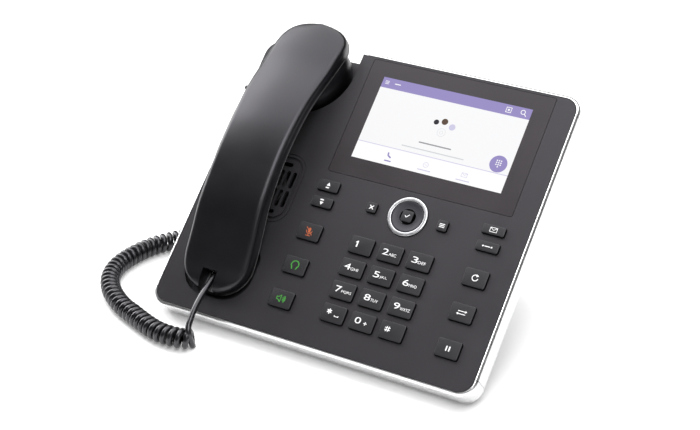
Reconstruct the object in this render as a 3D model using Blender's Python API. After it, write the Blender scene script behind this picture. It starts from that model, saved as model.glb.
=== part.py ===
"""Desk IP phone: sloped faceplate with display and keys, lift-off handset, curly cord, rear stand.

Lengths below are in millimetres and are scaled to metres when a mesh is made. Most pieces are drawn in
the faceplate's own frame: u to the right from the plate's left edge, v up the slope from its lower edge
and h out along its normal, with the plate's face at h = 0. The empty "faceplate_frame" carries them.
The world frame has X to the right, Y to the back and Z up; the feet stand on Z = 0.
"""
import math

import bmesh
import bpy
from mathutils import Vector

MM = 0.001
GAP = 0.3                    # between two pieces that seat on or pass each other

# Faceplate and case
PLATE_W, PLATE_H = 237.3, 209.1
PLATE_CORNER = 9.5
PLATE_THICK = 2.5
TILT = math.radians(40.3)    # slope of the faceplate
SKIRT_DEPTH = 13.0
WALL = 2.4
TRIM_GAP, TRIM_THICK, TRIM_DEPTH, TRIM_CHAMFER = 0.4, 2.0, 16.5, 1.4
EDGE = TRIM_GAP + TRIM_THICK
TRIM_STOP = 8.0                          # the left band ends this far below the ear well's block
CASE_FACE = TRIM_DEPTH + GAP             # rear cover's rim starts this far behind the face
RIM_THICK = 2.5
RIM_INSET = 3.0
CASE_DEPTH = 27.0                        # faceplate to the rear cover's back
CASE_INSET = 9.0
CASE_SLOPE = 4.0                         # how far the back's edge leans in over its depth
CASE_CLEAR = 3.316                       # left under the back's lowest edge

# Electronics foot: the wedge under the case that stands on the desk
WEDGE_LEFT, WEDGE_RIGHT = 50.0, 190.0    # as u
WEDGE_FLOOR_Z = 2.3
WEDGE_FRONT, WEDGE_BACK = 13.0, 80.0     # behind the plate's lower edge, along Y

# Stand and feet
STAND_LEFT, STAND_RIGHT = 62.0, 172.0    # as u
STAND_LOW_V, STAND_HIGH_V = 94.0, 166.0  # where it meets the case's back
STAND_FOOT_FRONT, STAND_FOOT_BACK = 98.0, 158.0
STAND_WALL = 2.6
FLANGE_L = 20.0                          # the stand's two floor flanges, over the rear feet
FOOT_L, FOOT_W, FOOT_CORNER = 16.0, 9.0, 3.0
SCREW_HEAD_R, SCREW_SHANK_R, SCREW_LENGTH = 3.2, 1.5, 7.0
SCREW_U = (STAND_LEFT + 14.0, STAND_RIGHT - 14.0)
SCREW_V = STAND_HIGH_V - 14.0
CABLE_WINDOW_W, CABLE_WINDOW_H, CABLE_WINDOW_RISE = 50.0, 22.0, 6.0

# Display
LENS = (86.1, 119.9, 221.8, 207.4)       # left, low, right, high
LENS_THICK, LENS_CORNER, LENS_LEDGE = 1.2, 1.0, 4.0
LCD_W, LCD_H, LCD_THICK = 121.0, 76.0, 3.2
LCD_CENTRE = (153.6, 164.8)

# Keys
KEY_PROUD, KEY_CHAMFER, KEY_CORNER = 2.0, 0.4, 1.2
KEY_TRAVEL = 1.2
KEY_FLANGE, KEY_FLANGE_THICK = 0.9, 0.8
DIAL_KEY = (17.0, 12.0)
DIAL_U, DIAL_PITCH_U = 131.4, 21.45
DIAL_V, DIAL_PITCH_V = 24.7, 16.45
DIAL_ROWS = (("star", "0", "hash"), ("7", "8", "9"), ("4", "5", "6"), ("1", "2", "3"))
LEFT_U, RIGHT_U = 92.0, 214.2
FUNCTION_KEYS = {                        # name: (u, v, width, depth)
    "key_speaker": (LEFT_U, 24.3, 17.0, 12.0),
    "key_headset": (LEFT_U, 48.7, 17.0, 12.0),
    "key_mute": (LEFT_U, 73.9, 17.0, 12.0),
    "key_vol_down": (LEFT_U, 96.2, 15.7, 7.3),
    "key_vol_up": (LEFT_U, 108.6, 15.7, 8.0),
    "key_hold": (RIGHT_U, 24.3, 16.2, 12.0),
    "key_transfer": (RIGHT_U, 49.1, 16.2, 12.0),
    "key_redial": (RIGHT_U, 73.5, 16.2, 12.0),
    "key_contacts": (RIGHT_U, 95.8, 15.9, 6.8),
    "key_mail": (RIGHT_U, 107.7, 15.9, 6.5),
    "key_close": (127.9, 101.6, 7.2, 7.1),
    "key_menu": (179.8, 101.7, 7.4, 7.5),
}

# Navigation pad: ring and dish rock together on a gimbal, the OK key passes through the middle
NAV = (154.0, 102.0)
NAV_RING_R, NAV_RING_IN, NAV_PROUD = 14.0, 11.3, 1.2
NAV_HOLE_CLEAR = 0.4
OK_SIZE, OK_PROUD, OK_CLEAR = 8.0, 1.6, 0.6
GIMBAL_R, GIMBAL_IN, GIMBAL_THICK = 9.4, 7.2, 1.1
GIMBAL_TOP = -PLATE_THICK - 1.0

# Inside the case
MEMBRANE = (83.0, 14.0, 226.0, 115.5)
DOME_CLEAR = 0.8                         # left under a pressed key
MEMBRANE_TOP = -PLATE_THICK - GAP - KEY_FLANGE_THICK - KEY_TRAVEL - DOME_CLEAR
MEMBRANE_THICK = 1.0
BOARD = (83.0, 13.0, 228.0, 196.0)
BOARD_TOP, BOARD_THICK = MEMBRANE_TOP - MEMBRANE_THICK - 4.0, 1.6
SPEAKER_R, SPEAKER_THICK, SPEAKER_CONE = 19.0, 8.0, 3.0
GRILLE_CENTRE = (40.0, 99.0)
SLOT_W, SLOT_L, SLOT_PITCH, SLOT_ROW = 3.0, 12.4, 4.8, 7.2
SLOT_COLUMNS = 11
END_SLOT_L, END_SLOT_V = 40.0, 19.2
GROOVES = ((55.6, 45.2, 9.0, 1.8, 0.9), (61.4, 51.0, 12.0, 0.7, 0.5))    # width, depth, corner, cut, deep

# Handset, its wells and its hook
HAND_U = 39.5
HAND_LOW, HAND_HIGH = 13.6, 218.5
MOUTH_END, MOUTH_POWER = 26.0, 2.3       # length and squareness of each rounded end
EAR_END, EAR_POWER = 23.0, 3.5
EAR_LEAN, LEAN_START = 5.8, 148.0        # the ear end leans to the right from there on
HAND_SHELL = 2.2
HAND_SHOULDER = 3.0
CUP_U, CUP_V, CUP_R = 42.3, 186.0, 29.2
CUP_BOTTOM, CUP_TOP = -12.0, 3.8
MOUTH_BOTTOM = -3.7
EAR_WELL_U, EAR_WELL_V, EAR_WELL_R = 39.4, 191.6, 37.0
EAR_WELL_FLOOR, EAR_CORNER_FACE = -18.5, -8.0
EAR_CORNER_V, EAR_CORNER_W = 167.0, 14.0 # the plate's low corner beside the ear
EAR_RIGHT = EAR_WELL_U + EAR_WELL_R
EAR_BLOCK_RIGHT = EAR_RIGHT + WALL + 0.6
EAR_BLOCK_LOW = EAR_CORNER_V - WALL
EAR_TOP = PLATE_H + 0.2                  # rear wall of the ear well, where the band leaves off
MOUTH_WELL = (13.2, 11.6, 65.8, 52.6)
MOUTH_WELL_FLOOR, MOUTH_WELL_CORNER, MOUTH_WELL_UPPER = -5.0, 20.0, 9.0
NOTCH_W, NOTCH_TOP_V = 11.2, 27.3
CAVITY_LOW = 30.0
HOOK_V, HOOK_W, HOOK_L, HOOK_TRAVEL = 169.0, 6.0, 10.0, 2.5
RECEIVER_R, RECEIVER_THICK = 17.0, 5.0
MIC_R, MIC_THICK, MIC_V = 4.8, 2.4, 39.0

# Plugs, sockets and cord
PLUG_W, PLUG_T, PLUG_L = 7.6, 6.2, 12.0
PLUG_H = 4.8                 # height of the handset plug's axis over the faceplate
LEAD_D, COIL_D = 3.7, 14.0
COIL_Z = COIL_D / 2.0 + GAP
JACK_Y, JACK_Z = 57.0, 15.0  # base jack's mouth: behind the plate's lower edge, above the desk
JACK_WALL, JACK_DEPTH = 1.6, 15.0
NET_JACK_W, NET_JACK_H, NET_JACK_DEPTH = 12.0, 9.0, 13.0
POWER_JACK_W, POWER_JACK_H = 8.0, 8.0
NET_JACK_Z = 20.0
JACK_PLACES = {"lan_jack": 84.0, "pc_jack": 108.0, "power_jack": 132.0}

# Routes in millimetres: x from the plate's left edge, y from its lower edge, z above the desk
LEAD_ROUTE = [(39.5, 18.3, 35.9), (39.6, 12.5, 32.6), (39.8, 5.0, 29.9), (40.2, -3.0, 26.6),
              (40.9, -10.0, 22.9), (41.9, -16.0, 19.0), (42.6, -19.6, 16.2)]
COIL_ROUTE = [(46.2, -19.2), (41.0, -21.9), (35.2, -23.6), (23.7, -23.9), (13.2, -21.7), (1.6, -17.5),
              (-7.0, -14.0), (-20.4, -8.6), (-36.9, 2.6), (-49.0, 17.2), (-54.4, 33.9), (-53.3, 51.9),
              (-48.7, 67.7), (-41.1, 80.4), (-30.0, 94.5), (-15.0, 104.5), (2.0, 105.5), (16.0, 96.5),
              (23.5, 82.0)]                  # on the desk, at half the coil's height
BASE_LEAD_ROUTE = [(24.4, 79.2, 7.3), (26.4, 72.5, 8.6), (29.6, 64.9, 11.8), (34.6, 59.4, 14.3),
                   (40.6, 57.1, 15.0), (44.6, 57.0, 15.0)]

COS, SIN = math.cos(TILT), math.sin(TILT)
PLATE_FOOT_Z = CASE_CLEAR + CASE_DEPTH * COS - (CASE_INSET + CASE_SLOPE) * SIN  # its lower edge's height
FRONT_Y = -EDGE * COS + TRIM_CHAMFER * SIN
BACK_Y = max((PLATE_H + EDGE) * COS + TRIM_DEPTH * SIN, EAR_TOP * COS + (WALL - EAR_WELL_FLOOR) * SIN)
ORIGIN_Y = -(FRONT_Y + BACK_Y) / 2.0     # plate's lower edge, so that the part is centred on Y = 0
ORIGIN_X = -PLATE_W / 2.0


def to_side(y, z):
    """Distance behind the plate's lower edge and height over the desk, as the plate's (v, h)."""
    return (y * COS + (z - PLATE_FOOT_Z) * SIN, -y * SIN + (z - PLATE_FOOT_Z) * COS)


def side_y(v, h):
    """Distance behind the plate's lower edge of a point in the plate's frame."""
    return v * COS - h * SIN


def side_z(v, h):
    """Height over the desk of a point in the plate's frame."""
    return PLATE_FOOT_Z + v * SIN + h * COS


def side_box(low_y, low_z, high_y, high_z):
    """A box seen from the side, level with the desk, as an outline in (v, h)."""
    return [to_side(low_y, low_z), to_side(high_y, low_z), to_side(high_y, high_z), to_side(low_y, high_z)]


# ---------------------------------------------------------------- outlines

def rounded_rect(cu, cv, width, depth, corner, steps=2, upper=None):
    """Points of a rectangle with round corners, anticlockwise from the lower right.

    The two upper corners take the radius "upper" if it is given.
    """
    points = []
    low_corner = corner
    for quarter, (su, sv) in enumerate(((1, -1), (1, 1), (-1, 1), (-1, -1))):
        corner = upper if upper and sv > 0 else low_corner
        centre_u = cu + su * (width / 2.0 - corner)
        centre_v = cv + sv * (depth / 2.0 - corner)
        for step in range(steps + 1):
            angle = math.radians(-90.0 + 90.0 * quarter + 90.0 * step / steps)
            points.append((centre_u + corner * math.cos(angle), centre_v + corner * math.sin(angle)))
    return points


def box_outline(box, inset=0.0, corner=1.0, steps=2, upper=None):
    left, low, right, high = box
    return rounded_rect((left + right) / 2.0, (low + high) / 2.0, right - left - 2.0 * inset,
                        high - low - 2.0 * inset, corner, steps, upper)


def plate_outline(grow, steps=5):
    return box_outline((0.0, 0.0, PLATE_W, PLATE_H), -grow, max(PLATE_CORNER + grow, 1.5), steps)


def circle(cu, cv, radius, steps=32):
    turn = 2.0 * math.pi / steps
    return [(cu + radius * math.cos(turn * i), cv + radius * math.sin(turn * i)) for i in range(steps)]


# ---------------------------------------------------------------- solids

AXES = {"Z": lambda a, b, t: (a, b, t), "X": lambda a, b, t: (t, a, b), "Y": lambda a, b, t: (a, t, b)}


def loft(rings, bm=None):
    """A closed solid through rings of 3-D points with equal counts, capped at both ends."""
    bm = bm or bmesh.new()
    loops = [[bm.verts.new(point) for point in ring] for ring in rings]
    count = len(loops[0])
    for low, high in zip(loops, loops[1:]):
        for i in range(count):
            j = (i + 1) % count
            bm.faces.new((low[i], low[j], high[j], high[i]))
    bm.faces.new(list(reversed(loops[0])))
    bm.faces.new(loops[-1])
    return bm


def stack(layers, bm=None, axis="Z"):
    """A solid through flat outlines, given as (outline, height) from low to high."""
    return loft([[AXES[axis](a, b, height) for a, b in outline] for outline, height in layers], bm)


def prism(outline, low, high, bm=None, axis="Z"):
    return stack([(outline, low), (outline, high)], bm, axis)


def turned(profile, cu, cv, steps=32):
    """A ring: a closed profile of (radius, height) points turned about the plate's normal."""
    bm = bmesh.new()
    loops = []
    for i in range(steps):
        angle = 2.0 * math.pi * i / steps
        loops.append([bm.verts.new((cu + r * math.cos(angle), cv + r * math.sin(angle), h))
                      for r, h in profile])
    count = len(profile)
    for i in range(steps):
        here, there = loops[i], loops[(i + 1) % steps]
        for j in range(count):
            k = (j + 1) % count
            bm.faces.new((here[j], here[k], there[k], there[j]))
    return bm


def band(layers):
    """A closed ring through (outline, height) layers, the last joined to the first."""
    bm = bmesh.new()
    loops = [[bm.verts.new((u, v, h)) for u, v in outline] for outline, h in layers]
    count = len(loops[0])
    for here, there in zip(loops, loops[1:] + loops[:1]):
        for i in range(count):
            j = (i + 1) % count
            bm.faces.new((here[i], here[j], there[j], there[i]))
    return bm


def mesh_object(name, bm):
    bmesh.ops.recalc_face_normals(bm, faces=bm.faces)
    bmesh.ops.scale(bm, vec=(MM, MM, MM), verts=bm.verts)
    mesh = bpy.data.meshes.new(name)
    bm.to_mesh(mesh)
    bm.free()
    obj = bpy.data.objects.new(name, mesh)
    bpy.context.scene.collection.objects.link(obj)
    return obj


def boolean(target, tool_bm, operation="DIFFERENCE"):
    """Cut the target with a solid, or join them, and keep the result as the target's mesh."""
    tool = mesh_object(target.name + "_tool", tool_bm)
    modifier = target.modifiers.new("boolean", "BOOLEAN")
    modifier.operation = operation
    modifier.solver = "EXACT"
    modifier.object = tool
    bpy.context.view_layer.update()
    evaluated = target.evaluated_get(bpy.context.evaluated_depsgraph_get())
    mesh = bpy.data.meshes.new_from_object(evaluated)
    target.modifiers.clear()
    old = target.data
    target.data = mesh
    mesh.name = target.name
    bpy.data.meshes.remove(old)
    bpy.data.objects.remove(tool)
    return target


def finish(obj, material, parent=None, location=(0.0, 0.0, 0.0)):
    obj.data.materials.clear()
    obj.data.materials.append(material)
    obj.parent = parent
    obj.location = Vector(location) * MM
    obj.data.shade_smooth()
    obj.data.set_sharp_from_angle(angle=math.radians(35.0))
    return obj


def make(name, bm, material, parent=None, location=(0.0, 0.0, 0.0)):
    return finish(mesh_object(name, bm), material, parent, location)


def material(name, colour, roughness, metallic=0.0, alpha=1.0):
    made = bpy.data.materials.new(name)
    made.use_nodes = True
    shader = made.node_tree.nodes["Principled BSDF"]
    shader.inputs["Base Color"].default_value = (*colour, 1.0)
    shader.inputs["Roughness"].default_value = roughness
    shader.inputs["Metallic"].default_value = metallic
    shader.inputs["Alpha"].default_value = alpha
    return made


def empty(name, location, rotation=(0.0, 0.0, 0.0), parent=None):
    guide = bpy.data.objects.new(name, None)
    guide.location = Vector(location) * MM
    guide.rotation_euler = rotation
    guide.parent = parent
    bpy.context.scene.collection.objects.link(guide)
    return guide


# ---------------------------------------------------------------- case

def ear_block(grow, low, high):
    """The part of the case that holds the ear well, out to the trim's outer faces."""
    block = (-EDGE, EAR_BLOCK_LOW, EAR_BLOCK_RIGHT, PLATE_H + EDGE)
    return prism(box_outline(block, -grow), low, high)


def ear_cylinder(grow, low, high):
    return prism(circle(EAR_WELL_U, EAR_WELL_V, EAR_WELL_R + grow, 48), low, high)


def front_cover(mat, frame):
    cover = mesh_object("front_cover", prism(plate_outline(0.0), -SKIRT_DEPTH, 0.0))

    # hollow behind the plate, leaving the walls round the mouth well
    hollow = mesh_object("hollow", prism(plate_outline(-WALL), -CASE_DEPTH, -PLATE_THICK))
    mouth = box_outline(MOUTH_WELL, -WALL, MOUTH_WELL_CORNER + WALL, 6, MOUTH_WELL_UPPER + WALL)
    boolean(hollow, prism(mouth, MOUTH_WELL_FLOOR - WALL, 1.0))
    tool = bmesh.new()
    tool.from_mesh(hollow.data)
    bmesh.ops.scale(tool, vec=(1.0 / MM,) * 3, verts=tool.verts)
    bpy.data.objects.remove(hollow)
    boolean(cover, tool)

    # block round the ear well, cut off in line with the case
    floor_back = EAR_WELL_FLOOR - WALL
    beyond = EAR_TOP + CASE_INSET
    outer = box_outline((-EDGE, -EDGE, PLATE_W + EDGE, EAR_TOP), 0.0, PLATE_CORNER + EDGE, 6)
    block = box_outline((-CASE_INSET, EAR_BLOCK_LOW, EAR_BLOCK_RIGHT, beyond))
    boolean(cover, prism(block, floor_back + 0.4, -0.6 * PLATE_THICK), "UNION")
    boolean(cover, ear_cylinder(WALL, floor_back, -0.5 * PLATE_THICK), "UNION")
    boolean(cover, prism(outer, floor_back - 5.0, 5.0), "INTERSECT")

    # wells
    mouth = box_outline(MOUTH_WELL, 0.0, MOUTH_WELL_CORNER, 6, MOUTH_WELL_UPPER)
    boolean(cover, prism(mouth, MOUTH_WELL_FLOOR, 5.0))
    boolean(cover, ear_cylinder(0.0, EAR_WELL_FLOOR, 5.0))
    open_back = (EAR_CORNER_W, EAR_WELL_V, EAR_RIGHT, beyond)
    boolean(cover, prism(box_outline(open_back, 0.0, 0.5), EAR_WELL_FLOOR, 5.0))
    low_corner = (-CASE_INSET, EAR_CORNER_V, EAR_CORNER_W + 5.0, beyond)
    boolean(cover, prism(box_outline(low_corner, 0.0, 0.5), EAR_CORNER_FACE, 5.0))

    # display pocket and window
    holes = prism(box_outline(LENS, -GAP, LENS_CORNER + GAP), -LENS_THICK - GAP, 5.0)
    boolean(cover, holes)
    holes = prism(box_outline(LENS, LENS_LEDGE, 2.0), -PLATE_THICK - 5.0, -LENS_THICK / 2.0)

    # key holes, the pad's hole, the hook's hole and the speaker slots
    for u, v, width, depth in FUNCTION_KEYS.values():
        outline = rounded_rect(u, v, width + 2 * GAP, depth + 2 * GAP, KEY_CORNER + GAP)
        prism(outline, -PLATE_THICK - 1.0, 5.0, holes)
    for row, names in enumerate(DIAL_ROWS):
        for column in range(len(names)):
            outline = rounded_rect(DIAL_U + column * DIAL_PITCH_U, DIAL_V + row * DIAL_PITCH_V,
                                   DIAL_KEY[0] + 2 * GAP, DIAL_KEY[1] + 2 * GAP, KEY_CORNER + GAP)
            prism(outline, -PLATE_THICK - 1.0, 5.0, holes)
    prism(circle(NAV[0], NAV[1], NAV_RING_R + NAV_HOLE_CLEAR, 48), -PLATE_THICK - 1.0, 5.0, holes)
    prism(rounded_rect(HAND_U, HOOK_V, HOOK_W + 2 * GAP, HOOK_L + 2 * GAP, 1.0 + GAP),
          floor_back - 1.0, EAR_WELL_FLOOR + 1.0, holes)
    for column in range(SLOT_COLUMNS):
        u = GRILLE_CENTRE[0] + (column - (SLOT_COLUMNS - 1) / 2.0) * SLOT_PITCH
        for side in (-1, 1):
            slot = rounded_rect(u, GRILLE_CENTRE[1] + side * SLOT_ROW, SLOT_W, SLOT_L, SLOT_W / 2.05, 2)
            prism(slot, -PLATE_THICK - 1.0, 5.0, holes)
    for side in (-1, 1):
        slot = rounded_rect(GRILLE_CENTRE[0], GRILLE_CENTRE[1] + side * (END_SLOT_V - SLOT_W / 2.0),
                            END_SLOT_L, SLOT_W, SLOT_W / 2.05, 2)
        prism(slot, -PLATE_THICK - 1.0, 5.0, holes)
    boolean(cover, holes)

    # shallow grooves round the speaker slots
    for width, depth, corner, cut, deep in GROOVES:
        outer = rounded_rect(*GRILLE_CENTRE, width + cut, depth + cut, corner + cut / 2.0, 5)
        inner = rounded_rect(*GRILLE_CENTRE, width - cut, depth - cut, corner - cut / 2.0, 5)
        boolean(cover, band(((outer, -deep), (outer, 1.0), (inner, 1.0), (inner, -deep))))
    return finish(cover, mat, frame)


def trim_piece(name, keep_box, mat, frame):
    """One stretch of the bright band: the whole ring, cut down to a box in u and v."""
    outer, inner = plate_outline(EDGE), plate_outline(TRIM_GAP)
    section = ((outer, -TRIM_DEPTH), (outer, -TRIM_CHAMFER), (plate_outline(EDGE - TRIM_CHAMFER), 0.0),
               (inner, 0.0), (inner, -TRIM_DEPTH))
    piece = mesh_object(name, band(section))
    left, low, right, high = keep_box
    corners = [(left, low), (right, low), (right, high), (left, high)]
    boolean(piece, prism(corners, -TRIM_DEPTH - 5.0, 5.0), "INTERSECT")
    return finish(piece, mat, frame)


def trims(mat, frame):
    reach = EDGE + 5.0
    corner = PLATE_CORNER + 1.0
    ear_low, ear_right = EAR_BLOCK_LOW - TRIM_STOP, EAR_BLOCK_RIGHT + GAP
    right, top = PLATE_W + reach, PLATE_H + reach
    trim_piece("trim_front", (-reach, -reach, right, corner), mat, frame)
    trim_piece("trim_left", (-reach, corner + GAP, corner, ear_low), mat, frame)
    trim_piece("trim_right", (PLATE_W - corner, corner + GAP, right, PLATE_H - corner - GAP), mat, frame)
    trim_piece("trim_rear", (ear_right, PLATE_H - corner, right, top), mat, frame)


def wedge_outline(inset):
    """Side view of the electronics foot, as (v, h), with its walls moved in by the inset."""
    floor = WEDGE_FLOOR_Z + inset
    front, back = WEDGE_FRONT + 4.0 * inset, WEDGE_BACK - inset
    level = -CASE_FACE - 1.0
    low_front = to_side(front, floor)
    top_back = (back - side_y(0.0, level)) / COS
    return [low_front, to_side(back, floor), (top_back, level), (low_front[0], level)]


def rear_cover(mat, frame):
    rim_back = -CASE_FACE - RIM_THICK
    cover = mesh_object("rear_cover", prism(plate_outline(EDGE - RIM_INSET), rim_back, -CASE_FACE))
    hump = [(plate_outline(-CASE_INSET - CASE_SLOPE), -CASE_DEPTH),
            (plate_outline(-CASE_INSET), rim_back + 1.0)]
    boolean(cover, stack(hump), "UNION")
    boolean(cover, prism(wedge_outline(0.0), WEDGE_LEFT, WEDGE_RIGHT, axis="X"), "UNION")
    inner = [(plate_outline(-CASE_INSET - CASE_SLOPE - WALL), -CASE_DEPTH + WALL),
             (plate_outline(-CASE_INSET - WALL), -CASE_FACE + 1.0)]
    boolean(cover, stack(inner))
    wedge = prism(wedge_outline(WALL), WEDGE_LEFT + WALL, WEDGE_RIGHT - WALL, axis="X")
    boolean(cover, wedge)
    boolean(cover, ear_block(GAP, EAR_WELL_FLOOR - WALL - GAP, 0.0))
    boolean(cover, ear_cylinder(WALL + GAP, EAR_WELL_FLOOR - WALL - GAP, 0.0))

    holes = bmesh.new()
    half_u = NET_JACK_W / 2.0 + JACK_WALL + GAP
    half_z = NET_JACK_H / 2.0 + JACK_WALL + GAP
    pocket = side_box(WEDGE_BACK - NET_JACK_DEPTH, NET_JACK_Z - half_z, WEDGE_BACK + 3.0, NET_JACK_Z + half_z)
    for u in JACK_PLACES.values():
        prism(pocket, u - half_u, u + half_u, holes, axis="X")
    half_y = PLUG_W / 2.0 + JACK_WALL + 2 * GAP
    half_z = PLUG_T / 2.0 + JACK_WALL + 2 * GAP
    pocket = side_box(JACK_Y - half_y, JACK_Z - half_z, JACK_Y + half_y, JACK_Z + half_z)
    prism(pocket, WEDGE_LEFT - 5.0, WEDGE_LEFT + WALL + 5.0, holes, axis="X")
    for u in SCREW_U:
        prism(circle(u, SCREW_V, SCREW_SHANK_R + GAP, 16), -CASE_DEPTH - 1.0, -CASE_DEPTH + WALL + 1.0, holes)
    boolean(cover, holes)
    return finish(cover, mat, frame)


def stand(mat, frame):
    """A shell stand, drawn in the plate's frame: contact plate, rear wall, side walls and foot flanges."""
    face = -CASE_DEPTH - GAP
    inner_face = face - STAND_WALL
    foot_z, drop = WEDGE_FLOOR_Z, 20.0
    back_low = to_side(STAND_FOOT_BACK, foot_z)
    outline = [(STAND_LOW_V, face), (STAND_HIGH_V, face), back_low, to_side(STAND_FOOT_FRONT, foot_z)]
    body = mesh_object("stand", prism(outline, STAND_LEFT, STAND_RIGHT, axis="X"))

    rear_v, rear_h = STAND_HIGH_V - back_low[0], face - back_low[1]
    shift = STAND_WALL * math.hypot(rear_v, rear_h) / rear_h
    flange_z = foot_z + STAND_WALL
    at_flange = (flange_z - foot_z) / (side_z(STAND_HIGH_V, face) - foot_z)
    low_v, low_h = back_low[0] + rear_v * at_flange - shift, back_low[1] + rear_h * at_flange
    top_v = STAND_HIGH_V - shift - rear_v * STAND_WALL / rear_h
    inner = [(STAND_LOW_V - drop, inner_face), (top_v, inner_face), (low_v, low_h),
             to_side(STAND_FOOT_FRONT - drop, side_z(low_v, low_h))]
    boolean(body, prism(inner, STAND_LEFT + STAND_WALL, STAND_RIGHT - STAND_WALL, axis="X"))

    floor = side_box(STAND_FOOT_FRONT - drop, foot_z - drop, side_y(low_v, low_h) - 1.0, flange_z + 1.0)
    boolean(body, prism(floor, STAND_LEFT + FLANGE_L, STAND_RIGHT - FLANGE_L, axis="X"))
    middle = (STAND_LEFT + STAND_RIGHT) / 2.0
    window_low = flange_z + CABLE_WINDOW_RISE
    window = side_box(STAND_FOOT_BACK - 25.0, window_low, STAND_FOOT_BACK + 9.0, window_low + CABLE_WINDOW_H)
    holes = prism(window, middle - CABLE_WINDOW_W / 2.0, middle + CABLE_WINDOW_W / 2.0, axis="X")
    for u in SCREW_U:
        prism(circle(u, SCREW_V, SCREW_SHANK_R + GAP, 16), inner_face - 1.0, face + 1.0, holes)
    boolean(body, holes)
    finish(body, mat, frame)


def screw(name, u, mat, frame):
    head_face = -CASE_DEPTH - GAP - STAND_WALL - GAP
    tip = head_face + SCREW_LENGTH
    profile = [(SCREW_HEAD_R * 0.8, head_face - 1.8), (SCREW_HEAD_R, head_face - 1.2),
               (SCREW_HEAD_R, head_face), (SCREW_SHANK_R, head_face), (SCREW_SHANK_R, tip - 1.0),
               (SCREW_SHANK_R * 0.5, tip)]
    layers = [(circle(0, 0, radius, 16), height) for radius, height in profile]
    make(name, stack(layers), mat, frame, (u, SCREW_V, 0.0))


def feet(mat):
    front_y, back_y = WEDGE_FRONT + 10.0, STAND_FOOT_BACK - 16.0
    inset = 14.0
    rear_inset = STAND_WALL + FOOT_L / 2.0
    places = {"foot_front_left": (WEDGE_LEFT + inset, front_y),
              "foot_front_right": (WEDGE_RIGHT - inset, front_y),
              "foot_rear_left": (STAND_LEFT + rear_inset, back_y),
              "foot_rear_right": (STAND_RIGHT - rear_inset, back_y)}
    top = WEDGE_FLOOR_Z - GAP
    for name, (u, y) in places.items():
        layers = [(rounded_rect(0, 0, FOOT_L - 1.0, FOOT_W - 1.0, FOOT_CORNER - 0.5), 0.0),
                  (rounded_rect(0, 0, FOOT_L, FOOT_W, FOOT_CORNER), 0.5),
                  (rounded_rect(0, 0, FOOT_L, FOOT_W, FOOT_CORNER), top)]
        make(name, stack(layers), mat, None, (ORIGIN_X + u, ORIGIN_Y + y, 0.0))


# ---------------------------------------------------------------- keys and pad

def key(name, u, v, width, depth, mat, frame):
    flange_top = -PLATE_THICK - GAP
    wide = rounded_rect(0, 0, width + 2 * KEY_FLANGE, depth + 2 * KEY_FLANGE, KEY_CORNER)
    cap = rounded_rect(0, 0, width, depth, KEY_CORNER)
    top = rounded_rect(0, 0, width - 2 * KEY_CHAMFER, depth - 2 * KEY_CHAMFER, KEY_CORNER - KEY_CHAMFER / 2)
    layers = [(wide, flange_top - KEY_FLANGE_THICK), (wide, flange_top), (cap, flange_top),
              (cap, KEY_PROUD - KEY_CHAMFER), (top, KEY_PROUD)]
    make(name, stack(layers), mat, frame, (u, v, 0.0))


def keys(mat, frame):
    for row, names in enumerate(DIAL_ROWS):
        for column, label in enumerate(names):
            key("key_" + label, DIAL_U + column * DIAL_PITCH_U, DIAL_V + row * DIAL_PITCH_V, *DIAL_KEY,
                mat, frame)
    for name, (u, v, width, depth) in FUNCTION_KEYS.items():
        key(name, u, v, width, depth, mat, frame)


def nav_pad(silver, black, steel, frame):
    pivot = empty("nav_pivot", (NAV[0], NAV[1], GIMBAL_TOP), parent=frame)
    lift = -GIMBAL_TOP
    ring = [(NAV_RING_IN, -1.6), (NAV_RING_R, -1.6), (NAV_RING_R, NAV_PROUD - 0.5),
            (NAV_RING_R - 0.5, NAV_PROUD), (NAV_RING_IN + 0.4, NAV_PROUD), (NAV_RING_IN, NAV_PROUD - 0.4)]
    make("nav_ring", turned([(r, h + lift) for r, h in ring], 0, 0, 48), silver, pivot)
    dish_r = NAV_RING_IN - GAP
    hole = OK_SIZE + 2 * OK_CLEAR
    bowl = [(dish_r, lift - PLATE_THICK), (dish_r, lift + 0.9), (dish_r - 1.2, lift + 0.9),
            (dish_r - 3.0, lift + 0.3)]
    dish = mesh_object("nav_dish", stack([(circle(0, 0, radius, 40), height) for radius, height in bowl]))
    boolean(dish, prism(rounded_rect(0, 0, hole, hole, 1.8), -5.0, 15.0))
    finish(dish, black, pivot)
    gimbal = [(GIMBAL_IN, -GIMBAL_THICK), (GIMBAL_R, -GIMBAL_THICK), (GIMBAL_R, 0.0), (GIMBAL_IN, 0.0)]
    make("nav_gimbal", turned(gimbal, 0, 0, 32), steel, pivot)
    cap = rounded_rect(0, 0, OK_SIZE, OK_SIZE, 1.4)
    top = rounded_rect(0, 0, OK_SIZE - 1.0, OK_SIZE - 1.0, 1.1)
    make("ok_key", stack([(cap, GIMBAL_TOP - 0.6), (cap, OK_PROUD - 0.4), (top, OK_PROUD)]), black, frame,
         (NAV[0], NAV[1], 0.0))


# ---------------------------------------------------------------- inside the case

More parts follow.
